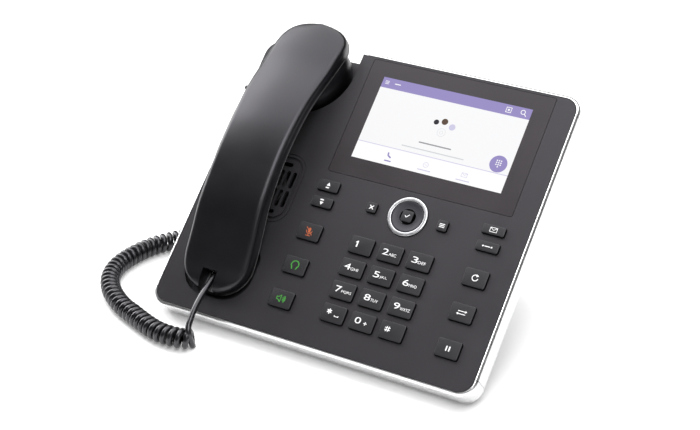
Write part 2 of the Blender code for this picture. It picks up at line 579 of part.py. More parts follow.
def internals(mats, frame):
    make("screen_lens", prism(box_outline(LENS, 0.0, LENS_CORNER), -LENS_THICK, 0.0), mats["lens"], frame)
    lcd_top = -PLATE_THICK - GAP
    make("lcd_panel", prism(rounded_rect(*LCD_CENTRE, LCD_W, LCD_H, 1.0), lcd_top - LCD_THICK, lcd_top),
         mats["display"], frame)
    sheet = prism(box_outline(MEMBRANE, 0.0, 3.0), MEMBRANE_TOP - MEMBRANE_THICK, MEMBRANE_TOP)
    make("keypad_membrane", sheet, mats["silicone"], frame)
    make("main_board", prism(box_outline(BOARD, 0.0, 3.0), BOARD_TOP - BOARD_THICK, BOARD_TOP),
         mats["board"], frame)
    top = -PLATE_THICK - 1.0
    magnet_r = SPEAKER_R * 0.55
    cone = [(magnet_r, top - SPEAKER_THICK), (magnet_r, top - SPEAKER_THICK + 3.0), (SPEAKER_R, top - 2.0),
            (SPEAKER_R, top), (SPEAKER_R - 2.5, top), (SPEAKER_R * 0.4, top - SPEAKER_CONE)]
    make("speaker_driver", stack([(circle(0, 0, radius, 32), height) for radius, height in cone]),
         mats["speaker"], frame, (*GRILLE_CENTRE, 0.0))
    hook_top = CUP_BOTTOM - GAP
    layers = [(rounded_rect(0, 0, HOOK_W, HOOK_L, 1.0), EAR_WELL_FLOOR - WALL - HOOK_TRAVEL),
              (rounded_rect(0, 0, HOOK_W, HOOK_L, 1.0), hook_top - 0.8),
              (rounded_rect(0, 0, HOOK_W - 1.6, HOOK_L - 1.6, 0.8), hook_top)]
    make("hook_plunger", stack(layers), mats["key"], frame, (HAND_U, HOOK_V, 0.0))


# ---------------------------------------------------------------- handset

def curve_through(table, v):
    """Smooth value at v through a table of (v, value), flat beyond its ends."""
    if v <= table[0][0]:
        return table[0][1]
    if v >= table[-1][0]:
        return table[-1][1]
    count = len(table)
    for i in range(count - 1):
        v0, a = table[i]
        v1, b = table[i + 1]
        if v <= v1:
            before = table[max(i - 1, 0)]
            after = table[min(i + 2, count - 1)]
            slope_a = (b - before[1]) / (v1 - before[0])
            slope_b = (after[1] - a) / (after[0] - v0)
            span = v1 - v0
            t = (v - v0) / span
            return ((2 * t ** 3 - 3 * t ** 2 + 1) * a + (t ** 3 - 2 * t ** 2 + t) * span * slope_a
                    + (-2 * t ** 3 + 3 * t ** 2) * b + (t ** 3 - t ** 2) * span * slope_b)


HALF_WIDTH = ((30, 25.3), (64, 24.8), (106, 24.7), (140, 25.0), (183, 26.4))
CROWN = ((14, 8.5), (20, 11.0), (32, 12.8), (48, 17.6), (64, 23.6), (80, 27.3), (106, 30.2), (126, 30.4),
         (145, 28.8), (161, 26.2), (183, 20.8), (200, 18.4), (213, 16.4), (218.5, 14.6))
PARTING = ((34, 0.6), (48, 4.0), (62, 9.0), (81, 16.0), (106, 20.3), (126, 20.8), (145, 19.4), (160, 16.6),
           (182, 11.0), (204, 5.6))
GRIP_UNDER = ((46, MOUTH_BOTTOM), (52, 0.8), (66, 4.6), (80, 9.5), (106, 13.2), (126, 13.8), (145, 12.4),
              (158, 9.4), (172, 4.0), (190, 0.5), (218.5, -0.5))
STATIONS = (13.6, 14.3, 16.0, 19.0, 23.5, 29.0, 37.0, 46.0, 49.0, 52.0, 59.0, 66.0, 73.0, 81.0, 93.0, 106.0,
            118.0, 130.0, 142.0, 151.0, 160.0, 166.0, 173.0, 181.0, 189.0, 197.0, 204.0, 210.0, 213.8, 216.6,
            217.9, 218.5)


def centre_u(v):
    return HAND_U + EAR_LEAN * (max(v - LEAN_START, 0.0) / (HAND_HIGH - LEAN_START)) ** 2


def plan_half_width(v):
    """Half the handset's width, rounded in at both ends."""
    width = curve_through(HALF_WIDTH, v)
    ends = ((v - HAND_LOW, MOUTH_END, MOUTH_POWER), (HAND_HIGH - v, EAR_END, EAR_POWER))
    for from_end, length, power in ends:
        if from_end < length:
            width *= max(1.0 - (1.0 - from_end / length) ** power, 0.03) ** (1.0 / power)
    return width


def top_ring(v, inset):
    width = plan_half_width(v) - inset
    shoulder = min(HAND_SHOULDER, width * 0.4)
    crown = curve_through(CROWN, v) - inset
    edge = crown - 1.2
    base = curve_through(PARTING, v) - (0.0 if inset == 0.0 else 3.0)
    half = [(width, base), (width, edge - shoulder), (width - 0.3 * shoulder, edge - 0.35 * shoulder),
            (width - shoulder, edge), (0.45 * width, crown - 0.25)]
    centre = centre_u(v)
    ring = [(centre + a, v, h) for a, h in half]
    ring.append((centre, v, crown))
    ring += [(centre - a, v, h) for a, h in reversed(half)]
    return ring


def bottom_ring(v, inset):
    width = plan_half_width(v) - inset
    parting = curve_through(PARTING, v) - GAP
    top = parting + (0.0 if inset == 0.0 else 3.0)
    side_top = parting - 1.4
    under = curve_through(GRIP_UNDER, v) + inset
    round_off = min(0.5 * (side_top - under), 4.0)
    half = [(width, top), (width - 0.4, side_top), (0.88 * width, under + round_off),
            (0.88 * width - min(round_off, 0.3 * width), under)]
    centre = centre_u(v)
    ring = [(centre + a, v, h) for a, h in half]
    ring += [(centre - a, v, h) for a, h in reversed(half)]
    return ring


def ear_cup(inset, top):
    """The round cup under the receiver, which stands out past the shells on both sides."""
    radius = CUP_R - inset
    low = CUP_BOTTOM + inset
    profile = [(radius - 1.5, low), (radius, low + 1.5), (radius, top)]
    return stack([(circle(CUP_U, CUP_V, around, 40), height) for around, height in profile])


def handset(mats, frame):
    seat = empty("handset_seat", (0.0, 0.0, 0.0), parent=frame)
    cavity_high = HAND_HIGH - HAND_SHELL - 1.0
    inner_stations = [v for v in STATIONS if CAVITY_LOW + 2.0 < v < cavity_high - 0.5]
    inner_stations = [CAVITY_LOW, *inner_stations, cavity_high]

    top = mesh_object("handset_top_shell", loft([top_ring(v, 0.0) for v in STATIONS]))
    boolean(top, loft([top_ring(v, HAND_SHELL) for v in inner_stations]))
    notch = [(HAND_U - NOTCH_W / 2.0, HAND_LOW - 5.0), (HAND_U + NOTCH_W / 2.0, HAND_LOW - 5.0),
             (HAND_U + NOTCH_W / 2.0, NOTCH_TOP_V), (HAND_U - NOTCH_W / 2.0, NOTCH_TOP_V)]
    boolean(top, prism(notch, -5.0, 30.0))
    window = rounded_rect(HAND_U, PLUG_H, PLUG_W + 2 * GAP, PLUG_T + 2 * GAP, 0.6)
    boolean(top, prism(window, NOTCH_TOP_V - 2.0, CAVITY_LOW + 2.0, axis="Y"))
    finish(top, mats["handset"], seat)

    bottom = mesh_object("handset_bottom_shell", loft([bottom_ring(v, 0.0) for v in STATIONS]))
    boolean(bottom, ear_cup(0.0, CUP_TOP), "UNION")
    boolean(bottom, loft([bottom_ring(v, HAND_SHELL) for v in inner_stations]))
    boolean(bottom, ear_cup(HAND_SHELL, CUP_TOP - HAND_SHELL))
    boolean(bottom, prism(circle(CUP_U, CUP_V, RECEIVER_R + 4.0, 32), 0.0, CUP_TOP + 2.0))
    finish(bottom, mats["handset"], seat)

    floor = CUP_BOTTOM + HAND_SHELL + GAP
    make("receiver_capsule", prism(circle(0, 0, RECEIVER_R, 32), floor, floor + RECEIVER_THICK),
         mats["speaker"], seat, (CUP_U, CUP_V, 0.0))
    floor = MOUTH_BOTTOM + HAND_SHELL + GAP
    make("microphone_capsule", prism(circle(0, 0, MIC_R, 24), floor, floor + MIC_THICK), mats["speaker"],
         seat, (HAND_U, MIC_V, 0.0))
    plug = rounded_rect(0, 0, PLUG_W, PLUG_T, 0.4, 2)
    make("handset_plug", prism(plug, 0.0, PLUG_L, axis="Y"), mats["plug"], seat,
         (HAND_U, NOTCH_TOP_V + 1.0, PLUG_H))


# ---------------------------------------------------------------- sockets and cord

def base_jack(mat):
    """A socket facing left in the electronics foot, with the plug's room open on its left side."""
    outer = rounded_rect(0, 0, PLUG_W + 2 * (JACK_WALL + GAP), PLUG_T + 2 * (JACK_WALL + GAP), 0.5, 2)
    room = rounded_rect(0, 0, PLUG_W + 2 * GAP, PLUG_T + 2 * GAP, 0.5, 2)
    jack = mesh_object("base_jack", prism(outer, 0.0, JACK_DEPTH, axis="X"))
    boolean(jack, prism(room, -2.0, JACK_DEPTH - JACK_WALL, axis="X"))
    finish(jack, mat, None, (ORIGIN_X + WEDGE_LEFT - 0.5, ORIGIN_Y + JACK_Y, JACK_Z))


def rear_jack(name, u, room_w, room_h, mat):
    outer = rounded_rect(0, 0, NET_JACK_W + 2 * JACK_WALL, NET_JACK_H + 2 * JACK_WALL, 0.5, 2)
    room = rounded_rect(0, 0, room_w, room_h, 0.5, 2)
    jack = mesh_object(name, prism(outer, -NET_JACK_DEPTH + GAP, 0.5, axis="Y"))
    boolean(jack, prism(room, -NET_JACK_DEPTH + 2.0, 3.0, axis="Y"))
    finish(jack, mat, None, (ORIGIN_X + u, ORIGIN_Y + WEDGE_BACK, NET_JACK_Z))


def smooth_route(points, spacing):
    """Points at even spacing along a smooth curve through the given points."""
    anchors = [Vector(p) for p in points]
    fine = []
    for i in range(len(anchors) - 1):
        p0, p1, p2 = anchors[max(i - 1, 0)], anchors[i], anchors[i + 1]
        p3 = anchors[min(i + 2, len(anchors) - 1)]
        for step in range(12):
            t = step / 12.0
            fine.append(0.5 * (2.0 * p1 + (p2 - p0) * t + (2.0 * p0 - 5.0 * p1 + 4.0 * p2 - p3) * t ** 2
                               + (3.0 * p1 - p0 - 3.0 * p2 + p3) * t ** 3))
    fine.append(anchors[-1])
    length = sum((b - a).length for a, b in zip(fine, fine[1:]))
    count = max(int(round(length / spacing)), 2)
    even, target, walked = [fine[0]], length / count, 0.0
    for a, b in zip(fine, fine[1:]):
        step = (b - a).length
        while walked + step >= target * len(even) - 1e-9 and len(even) < count:
            even.append(a.lerp(b, (target * len(even) - walked) / step))
        walked += step
    even.append(fine[-1])
    return even


def tube(name, route, diameter, resolution, mat):
    points = smooth_route(route, 2.2 * diameter if diameter < 6.0 else 0.6 * diameter)
    data = bpy.data.curves.new(name, "CURVE")
    data.dimensions = "3D"
    data.bevel_depth = diameter / 2.0 * MM
    data.bevel_resolution = resolution
    data.use_fill_caps = True
    spline = data.splines.new("POLY")
    spline.points.add(len(points) - 1)
    for target, point in zip(spline.points, points):
        target.co = ((ORIGIN_X + point.x) * MM, (ORIGIN_Y + point.y) * MM, point.z * MM, 1.0)
    obj = bpy.data.objects.new(name, data)
    data.materials.append(mat)
    bpy.context.scene.collection.objects.link(obj)


def cord(mats):
    tube("handset_lead", LEAD_ROUTE, LEAD_D, 2, mats["cord"])
    tube("curly_cord", [(x, y, COIL_Z) for x, y in COIL_ROUTE], COIL_D, 4, mats["cord"])
    tube("base_lead", BASE_LEAD_ROUTE, LEAD_D, 2, mats["cord"])
    plug = rounded_rect(0, 0, PLUG_W, PLUG_T, 0.4, 2)
    make("base_plug", prism(plug, 0.0, PLUG_L, axis="X"), mats["plug"], None,
         (ORIGIN_X + BASE_LEAD_ROUTE[-1][0] + GAP, ORIGIN_Y + JACK_Y, JACK_Z))


def build():
    for obj in list(bpy.data.objects):
        bpy.data.objects.remove(obj)
    mats = {
        "case": material("case", (0.035, 0.035, 0.038), 0.55),
        "handset": material("handset", (0.040, 0.041, 0.047), 0.42),
        "key": material("key", (0.030, 0.030, 0.033), 0.5),
        "trim": material("trim", (0.80, 0.80, 0.82), 0.25, 1.0),
        "pad": material("pad", (0.012, 0.012, 0.014), 0.35),
        "lens": material("lens", (0.06, 0.05, 0.05), 0.15, 0.0, 0.5),
        "display": material("display", (0.75, 0.75, 0.80), 0.4),
        "silicone": material("silicone", (0.45, 0.45, 0.45), 0.7),
        "board": material("board", (0.02, 0.16, 0.06), 0.5),
        "speaker": material("speaker", (0.05, 0.05, 0.05), 0.6),
        "steel": material("steel", (0.45, 0.45, 0.46), 0.35, 1.0),
        "rubber": material("rubber", (0.02, 0.02, 0.02), 0.85),
        "cord": material("cord", (0.020, 0.020, 0.023), 0.35),
        "plug": material("plug", (0.55, 0.56, 0.58), 0.15, 0.0, 0.6),
        "socket": material("socket", (0.02, 0.02, 0.02), 0.4),
    }
    frame = empty("faceplate_frame", (ORIGIN_X, ORIGIN_Y, PLATE_FOOT_Z), (TILT, 0.0, 0.0))
    front_cover(mats["case"], frame)
    trims(mats["trim"], frame)
    rear_cover(mats["case"], frame)
    stand(mats["case"], frame)
    for side, u in zip(("left", "right"), SCREW_U):
        screw("stand_screw_" + side, u, mats["steel"], frame)
    feet(mats["rubber"])
    keys(mats["key"], frame)
    nav_pad(mats["trim"], mats["pad"], mats["steel"], frame)
    internals(mats, frame)
    handset(mats, frame)
    base_jack(mats["socket"])
    for name, u in JACK_PLACES.items():
        is_power = name == "power_jack"
        rear_jack(name, u, POWER_JACK_W if is_power else NET_JACK_W,
                  POWER_JACK_H if is_power else NET_JACK_H, mats["socket"])
    cord(mats)


build()
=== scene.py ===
"""Looks of the sloped desk phone: handset, key caps, legends, display picture, curly cord and materials.

Sizes are in millimetres and are scaled to metres as each mesh is placed. Most pieces are drawn in the
faceplate's own frame: u to the right from its left edge, v up the slope and h out along its normal. The
cord is drawn in the desk's frame: x and y from the faceplate's lower left corner, z above the desk.
"""
import math

import bmesh
import bpy
from mathutils import Matrix, Vector


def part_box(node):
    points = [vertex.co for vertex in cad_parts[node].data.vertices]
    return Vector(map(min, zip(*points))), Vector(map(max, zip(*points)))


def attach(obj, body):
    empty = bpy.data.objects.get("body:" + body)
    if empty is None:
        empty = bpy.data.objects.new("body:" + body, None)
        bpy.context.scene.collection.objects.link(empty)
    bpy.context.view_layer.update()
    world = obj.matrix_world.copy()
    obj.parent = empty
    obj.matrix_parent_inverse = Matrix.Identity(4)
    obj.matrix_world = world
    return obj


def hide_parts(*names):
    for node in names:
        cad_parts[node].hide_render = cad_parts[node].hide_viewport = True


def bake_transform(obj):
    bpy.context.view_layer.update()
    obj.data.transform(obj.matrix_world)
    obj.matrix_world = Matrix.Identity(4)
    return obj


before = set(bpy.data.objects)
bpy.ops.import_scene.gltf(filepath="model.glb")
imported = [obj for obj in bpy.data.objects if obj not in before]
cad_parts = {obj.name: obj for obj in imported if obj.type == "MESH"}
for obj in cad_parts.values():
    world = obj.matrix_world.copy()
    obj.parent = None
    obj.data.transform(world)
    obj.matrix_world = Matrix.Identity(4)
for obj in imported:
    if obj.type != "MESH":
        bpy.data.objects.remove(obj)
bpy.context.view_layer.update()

MM = 0.001
GAP = 0.3

# The faceplate's frame, found from the front band and its known section
TILT = math.radians(40.3)
COS, SIN = math.cos(TILT), math.sin(TILT)
EDGE, BAND_THICK, BAND_DEPTH, CHAMFER = 2.4, 2.0, 16.5, 1.4
BAND_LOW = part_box("trim_front")[0] / MM
CORNER = Vector((BAND_LOW.x + EDGE, BAND_LOW.y + EDGE * COS - CHAMFER * SIN,
                 BAND_LOW.z + EDGE * SIN + BAND_DEPTH * COS))
PLATE = Matrix.Translation(CORNER * MM) @ Matrix.Rotation(TILT, 4, "X") @ Matrix.Scale(MM, 4)
DESK = Matrix.Translation(Vector((CORNER.x, CORNER.y, 0.0)) * MM) @ Matrix.Scale(MM, 4)
PLATE_W, PLATE_H, PLATE_CORNER = 237.3, 209.1, 9.5

# Keys
KEY_FLANGE, KEY_CORNER, KEY_ROUND = 0.9, 1.2, 0.55
FLANK_FROM = 0.45            # a face whose normal rises less than this belongs to the flank, which gets painted shade
INK = 0.04                   # thickness of a printed legend

# Pad
RING_INNER, RING_ROUND, RING_INNER_ROUND = 11.3, 0.9, 0.5
DISH_HOLE, DISH_DEPTH, DISH_ROUND = 5.7, 0.75, 0.3
OK_CORNER, OK_ROUND = 1.6, 0.6

# Camera
CAMERA_FROM_CORNER = Vector((550.0, -715.7, 558.5))
CAMERA_RIGHT, CAMERA_UP = Vector((0.875, 0.4845, 0.0)), Vector((-0.2347, 0.4241, 0.8746))
CAMERA_LENS, CAMERA_SENSOR = 79.26, 36.0

# Display
SCREEN_W, SCREEN_H = 110.7, 62.3
BAR_H = 0.125                # height of the purple bar, as a share of the screen's

# Handset
HAND_U, HAND_LOW, HAND_HIGH = 39.5, 13.6, 218.5
MOUTH_END, MOUTH_POWER = 26.0, 2.3
EAR_END, EAR_POWER = 25.0, 2.8
EAR_LEAN, LEAN_START = 4.9, 148.0
SHOULDER_W, SHOULDER_H = 5.0, 4.0
CROWN_RISE = 1.4
CUP_U, CUP_V, CUP_R = 42.3, 186.0, 29.2
CUP_BOTTOM, CUP_TOP = -12.0, 3.8
CUP_LIP = 2.5
CUP_TAPER, CUP_FLARE, CUP_RISE = 9.0, 5.0, 7.5   # its wall leans in and fades into the shell's side
MOUTH_BOTTOM = -3.7
NOTCH_W, NOTCH_TOP_V = 11.2, 27.3
PLUG_H, PLUG_W, PLUG_T = 4.8, 7.6, 6.2
MIC_V = 39.0
SEAM_H, SEAM_OUT = 0.28, 0.03            # thin strip between the two shells, coloured light grey as a painted highlight along the lip
HALF_WIDTH = ((30, 25.3), (64, 24.8), (106, 24.7), (140, 25.0), (183, 26.4))
CROWN = ((14, 8.5), (20, 11.0), (32, 12.8), (48, 17.6), (64, 23.6), (80, 27.3), (106, 30.2), (126, 30.4),
         (145, 28.8), (161, 26.2), (183, 20.8), (200, 18.4), (213, 16.4), (218.5, 14.6))
PARTING = ((34, 0.6), (48, 4.0), (62, 9.0), (81, 16.0), (106, 20.3), (126, 20.8), (145, 19.4), (160, 16.6),
           (182, 11.0), (204, 5.6))
GRIP_UNDER = ((46, MOUTH_BOTTOM), (52, 0.8), (66, 4.6), (80, 9.5), (106, 13.2), (126, 13.8), (145, 12.4),
              (158, 9.4), (172, 4.0), (190, 0.5), (218.5, -0.5))

# Cord
WIRE_D, COIL_D, PITCH = 4.1, 14.2, 4.9
COIL_Z = COIL_D / 2.0 + GAP
TURN_POINTS, TUBE_SIDES = 18, 10
LEAD_ROUTE = [(39.5, 18.3, 35.9), (39.6, 12.5, 32.6), (39.8, 5.0, 29.9), (40.2, -3.0, 26.6),
              (40.9, -10.0, 22.9), (41.9, -16.0, 19.0), (42.6, -19.6, 16.2)]
COIL_ROUTE = [(46.2, -19.2), (41.0, -21.9), (35.2, -23.6), (23.7, -23.9), (13.2, -21.7), (1.6, -17.5),
              (-7.0, -14.0), (-20.4, -8.6), (-36.9, 2.6), (-49.0, 17.2), (-54.4, 33.9), (-53.3, 51.9),
              (-48.7, 67.7), (-41.1, 80.4), (-30.0, 94.5), (-15.0, 104.5), (2.0, 105.5), (16.0, 96.5),
              (23.5, 82.0)]
BASE_LEAD_ROUTE = [(24.4, 79.2, 7.3), (26.4, 72.5, 8.6), (29.6, 64.9, 11.8), (34.6, 59.4, 14.3),
                   (40.6, 57.1, 15.0), (44.6, 57.0, 15.0)]
LEAD_END = (44.6, -22.6, 12.6)           # where the lead bends down in front of the coil's first turn
LEAD_SPACING = 1.6


# ---------------------------------------------------------------- materials

def principled(name, colour, roughness, metallic=0.0, specular=0.5):
    made = bpy.data.materials.new(name)
    made.use_nodes = True
    shader = made.node_tree.nodes["Principled BSDF"]
    shader.inputs["Base Color"].default_value = (*colour, 1.0)
    shader.inputs["Roughness"].default_value = roughness
    shader.inputs["Metallic"].default_value = metallic
    shader.inputs["Specular IOR Level"].default_value = specular
    return made, shader


def noise(tree, scale, detail, stretch=(1.0, 1.0, 1.0)):
    """A noise over the object's own metres, stretched along its axes."""
    place = tree.nodes.new("ShaderNodeTexCoord")
    mapping = tree.nodes.new("ShaderNodeMapping")
    mapping.inputs["Scale"].default_value = stretch
    made = tree.nodes.new("ShaderNodeTexNoise")
    made.inputs["Scale"].default_value = scale
    made.inputs["Detail"].default_value = detail
    tree.links.new(place.outputs["Object"], mapping.inputs["Vector"])
    tree.links.new(mapping.outputs["Vector"], made.inputs["Vector"])
    return made


def vary_colour(tree, shader, source, colour, spread):
    """Base colour that drifts a little lighter and darker with the noise."""
    ramp = tree.nodes.new("ShaderNodeValToRGB")
    for element, gain in zip(ramp.color_ramp.elements, (1.0 - spread, 1.0 + spread)):
        element.color = (*(channel * gain for channel in colour), 1.0)
    ramp.color_ramp.elements[0].position = 0.3
    ramp.color_ramp.elements[1].position = 0.7
    tree.links.new(source.outputs["Fac"], ramp.inputs["Fac"])
    tree.links.new(ramp.outputs["Color"], shader.inputs["Base Color"])


def vary_roughness(tree, shader, source, low, high):
    spread = tree.nodes.new("ShaderNodeMapRange")
    spread.inputs["From Min"].default_value = 0.3
    spread.inputs["From Max"].default_value = 0.7
    spread.inputs["To Min"].default_value = low
    spread.inputs["To Max"].default_value = high
    tree.links.new(source.outputs["Fac"], spread.inputs["Value"])
    tree.links.new(spread.outputs["Result"], shader.inputs["Roughness"])


def emboss(tree, shader, source, distance, strength):
    bump = tree.nodes.new("ShaderNodeBump")
    bump.inputs["Distance"].default_value = distance
    bump.inputs["Strength"].default_value = strength
    tree.links.new(source.outputs["Fac"], bump.inputs["Height"])
    tree.links.new(bump.outputs["Normal"], shader.inputs["Normal"])


def moulded(name, colour, roughness, grain=1400.0, depth=0.00005, specular=0.5, coat=0.0):
    """Moulded plastic: spark-eroded grain, slow drift of colour and gloss."""
    made, shader = principled(name, colour, roughness, 0.0, specular)
    shader.inputs["Specular Tint"].default_value = (0.95, 0.92, 1.0, 1.0)
    shader.inputs["Coat Weight"].default_value = coat
    shader.inputs["Coat Roughness"].default_value = 0.2
    tree = made.node_tree
    emboss(tree, shader, noise(tree, grain, 3.0), depth, 0.35)
    drift = noise(tree, 26.0, 4.0)
    vary_colour(tree, shader, drift, colour, 0.06)
    vary_roughness(tree, shader, drift, roughness - 0.04, roughness + 0.05)
    return made


def metal(name, colour, roughness, streaks, strength):
    """Satin metal with fine streaks along the stretched axis."""
    made, shader = principled(name, colour, roughness, 1.0)
    tree = made.node_tree
    lines = noise(tree, 900.0, 2.0, streaks)
    emboss(tree, shader, lines, 0.00002, strength)
    vary_roughness(tree, shader, lines, roughness - 0.03, roughness + 0.04)
    vary_colour(tree, shader, noise(tree, 40.0, 2.0), colour, 0.02)
    return made


def lit(name, colour):
    """A patch of the lit display: nearly all its light is its own."""
    made, shader = principled(name, [0.04 * channel for channel in colour], 0.5, 0.0, 0.15)
    shader.inputs["Emission Color"].default_value = (*colour, 1.0)
    shader.inputs["Emission Strength"].default_value = 0.97
    tree = made.node_tree
    vary_roughness(tree, shader, noise(tree, 2000.0, 1.0), 0.47, 0.53)
    return made


# Printed legend ink; its emission is a painted glow that keeps the print bright under any light
def ink(name, colour, painted_glow=0.0):
    made, shader = principled(name, colour, 0.5, 0.0, 0.3)
    shader.inputs["Emission Color"].default_value = (*colour, 1.0)
    shader.inputs["Emission Strength"].default_value = painted_glow
    tree = made.node_tree
    vary_roughness(tree, shader, noise(tree, 1500.0, 2.0), 0.45, 0.56)
    return made


def clear_plastic(name):
    made, shader = principled(name, (0.62, 0.64, 0.66), 0.12)
    shader.inputs["Transmission Weight"].default_value = 0.7
    shader.inputs["IOR"].default_value = 1.49
    tree = made.node_tree
    vary_roughness(tree, shader, noise(tree, 300.0, 2.0), 0.08, 0.18)
    return made


PANEL = moulded("panel_plastic", (0.0155, 0.0142, 0.016), 0.44, 1500.0, 0.00006, 0.45)
CASE = moulded("case_plastic", (0.014, 0.014, 0.016), 0.55, 900.0, 0.00008, 0.4)
HANDSET = moulded("handset_plastic", (0.0042, 0.0042, 0.005), 0.31, 1900.0, 0.00003, 0.5)
# Darker, less shiny copy of the handset plastic: painted shade on the lower shell, which lies in the
# handset's own shadow
LOWER_SHELL_PAINTED_SHADE = moulded("lower_shell_painted_shade", (0.002, 0.002, 0.0023), 0.34, 1900.0, 0.00003, 0.18)
# Light grey: a painted highlight of the lip between the shells, not the plastic's own colour
SEAM_HIGHLIGHT = moulded("seam_painted_highlight", (0.16, 0.16, 0.165), 0.4, 1900.0, 0.00001)
KEY = moulded("key_plastic", (0.015, 0.0145, 0.0155), 0.42, 2200.0, 0.00003, 0.42)
# Near-black, low-gloss copy of the key plastic: painted shade on the key sides
KEY_FLANK_PAINTED_SHADE = moulded("key_flank_painted_shade", (0.0016, 0.0016, 0.0017), 0.5, 2200.0, 0.00003, 0.12)
PAD = moulded("pad_plastic", (0.021, 0.021, 0.025), 0.42, 2200.0, 0.00002, 0.45)
LENS = moulded("lens_border", (0.018, 0.0145, 0.0155), 0.36, 2600.0, 0.00001, 0.42)
JACKET = moulded("cord_jacket", (0.005, 0.005, 0.006), 0.27, 1200.0, 0.00002, 0.55, 0.2)
SOCKET = moulded("socket_plastic", (0.010, 0.010, 0.011), 0.38)
RUBBER = moulded("foot_rubber", (0.013, 0.013, 0.013), 0.8, 700.0, 0.0001, 0.25)
CAPSULE = moulded("capsule", (0.03, 0.03, 0.03), 0.6)
SILICONE = moulded("silicone_sheet", (0.42, 0.42, 0.42), 0.65)
BOARD = moulded("circuit_board", (0.015, 0.13, 0.05), 0.45)
BAND = metal("band_aluminium", (0.80, 0.80, 0.805), 0.30, (0.05, 1.0, 1.0), 0.02)
RING = metal("ring_aluminium", (0.60, 0.60, 0.62), 0.32, (1.0, 1.0, 1.0), 0.05)
STEEL = metal("plated_steel", (0.55, 0.55, 0.56), 0.3, (1.0, 1.0, 1.0), 0.15)
PLUG = clear_plastic("clear_plug")
# The legends' small emission is painted glow: the printed keys are not lit from within
WHITE_INK_PAINTED_GLOW = ink("white_legend_painted_glow", (0.80, 0.80, 0.81), 0.10)
GREEN_INK_PAINTED_GLOW = ink("green_legend_painted_glow", (0.045, 0.26, 0.035), 0.12)
ORANGE_INK_PAINTED_GLOW = ink("orange_legend_painted_glow", (0.42, 0.10, 0.035), 0.12)
SCREEN_PAPER = lit("screen_paper", (0.90, 0.90, 0.91))
SCREEN_WHITE = lit("screen_white", (0.95, 0.95, 0.96))
SCREEN_PURPLE = lit("screen_purple", (0.30, 0.255, 0.53))
SCREEN_LAVENDER = lit("screen_lavender", (0.60, 0.58, 0.76))
SCREEN_GREY = lit("screen_grey", (0.33, 0.33, 0.35))
SCREEN_PALE = lit("screen_pale", (0.62, 0.64, 0.66))
SCREEN_DARK = lit("screen_dark", (0.02, 0.02, 0.03))
SCREEN_BROWN = lit("screen_brown", (0.10, 0.06, 0.04))


# ---------------------------------------------------------------- outlines and solids

def rounded_rect(cu, cv, width, depth, corner, steps=6):
    points = []
    for quarter, (su, sv) in enumerate(((1, -1), (1, 1), (-1, 1), (-1, -1))):
        centre_u = cu + su * (width / 2.0 - corner)
        centre_v = cv + sv * (depth / 2.0 - corner)
        for step in range(steps + 1):
            angle = math.radians(-90.0 + 90.0 * quarter + 90.0 * step / steps)
            points.append((centre_u + corner * math.cos(angle), centre_v + corner * math.sin(angle)))
    return points


def circle(cu, cv, radius, steps=32):
    turn = 2.0 * math.pi / steps
    return [(cu + radius * math.cos(turn * i), cv + radius * math.sin(turn * i)) for i in range(steps)]


def loft(bm, rings, closed=False):
    """Skin through rings of 3-D points; capped at both ends, or joined end to end if closed."""
    loops = [[bm.verts.new(point) for point in ring] for ring in rings]
    count = len(loops[0])
    pairs = list(zip(loops, loops[1:]))
    if closed:
        pairs.append((loops[-1], loops[0]))
    for low, high in pairs:
        for i in range(count):
            j = (i + 1) % count
            bm.faces.new((low[i], low[j], high[j], high[i]))
    if not closed:
        bm.faces.new(list(reversed(loops[0])))
        bm.faces.new(loops[-1])
    return bm


def stack(bm, layers):
    return loft(bm, [[(a, b, height) for a, b in outline] for outline, height in layers])


def prism(bm, outline, low, high):
    return stack(bm, [(outline, low), (outline, high)])


def turned(bm, profile, cu, cv, steps=96):
    rings = []
    for i in range(steps):
        angle = 2.0 * math.pi * i / steps
        rings.append([(cu + r * math.cos(angle), cv + r * math.sin(angle), h) for r, h in profile])
    return loft(bm, rings, closed=True)


def arc(cu, ch, radius_u, radius_h, first, last, steps):
    """Points of an ellipse's arc, its angles in degrees."""
    turn = [math.radians(first + (last - first) * i / steps) for i in range(steps + 1)]
    return [(cu + radius_u * math.cos(a), ch + radius_h * math.sin(a)) for a in turn]


def place(name, bm, material, matrix=PLATE, sharp=40.0, flank=None):
    """A mesh from the bmesh; faces that look sideways take the flank material if there is one, which paints
    shade on them.
    """
    bmesh.ops.recalc_face_normals(bm, faces=bm.faces)
    if flank:
        for face in bm.faces:
            face.material_index = 1 if face.normal.z < FLANK_FROM else 0
    bmesh.ops.transform(bm, matrix=matrix, verts=bm.verts)
    mesh = bpy.data.meshes.new(name)
    bm.to_mesh(mesh)
    bm.free()
    mesh.materials.append(material)
    if flank:
        mesh.materials.append(flank)
    mesh.shade_smooth()
    mesh.set_sharp_from_angle(angle=math.radians(sharp))
    obj = bpy.data.objects.new(name, mesh)
    bpy.context.scene.collection.objects.link(obj)
    return obj


def boolean(target, tool_bm, operation="DIFFERENCE"):
    tool = place(target.name + "_tool", tool_bm, target.data.materials[0])
    modifier = target.modifiers.new("boolean", "BOOLEAN")
    modifier.operation = operation
    modifier.solver = "EXACT"
    modifier.object = tool
    bpy.context.view_layer.update()
    evaluated = target.evaluated_get(bpy.context.evaluated_depsgraph_get())
    mesh = bpy.data.meshes.new_from_object(evaluated)
    target.modifiers.clear()
    old = target.data
    target.data = mesh
    bpy.data.meshes.remove(old)
    bpy.data.objects.remove(tool)
    mesh.shade_smooth()
    mesh.set_sharp_from_angle(angle=math.radians(40.0))
    return target


def ride(obj, body, slot, *replaced):
    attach(obj, body)
    if replaced:
        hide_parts(*replaced)
    return obj


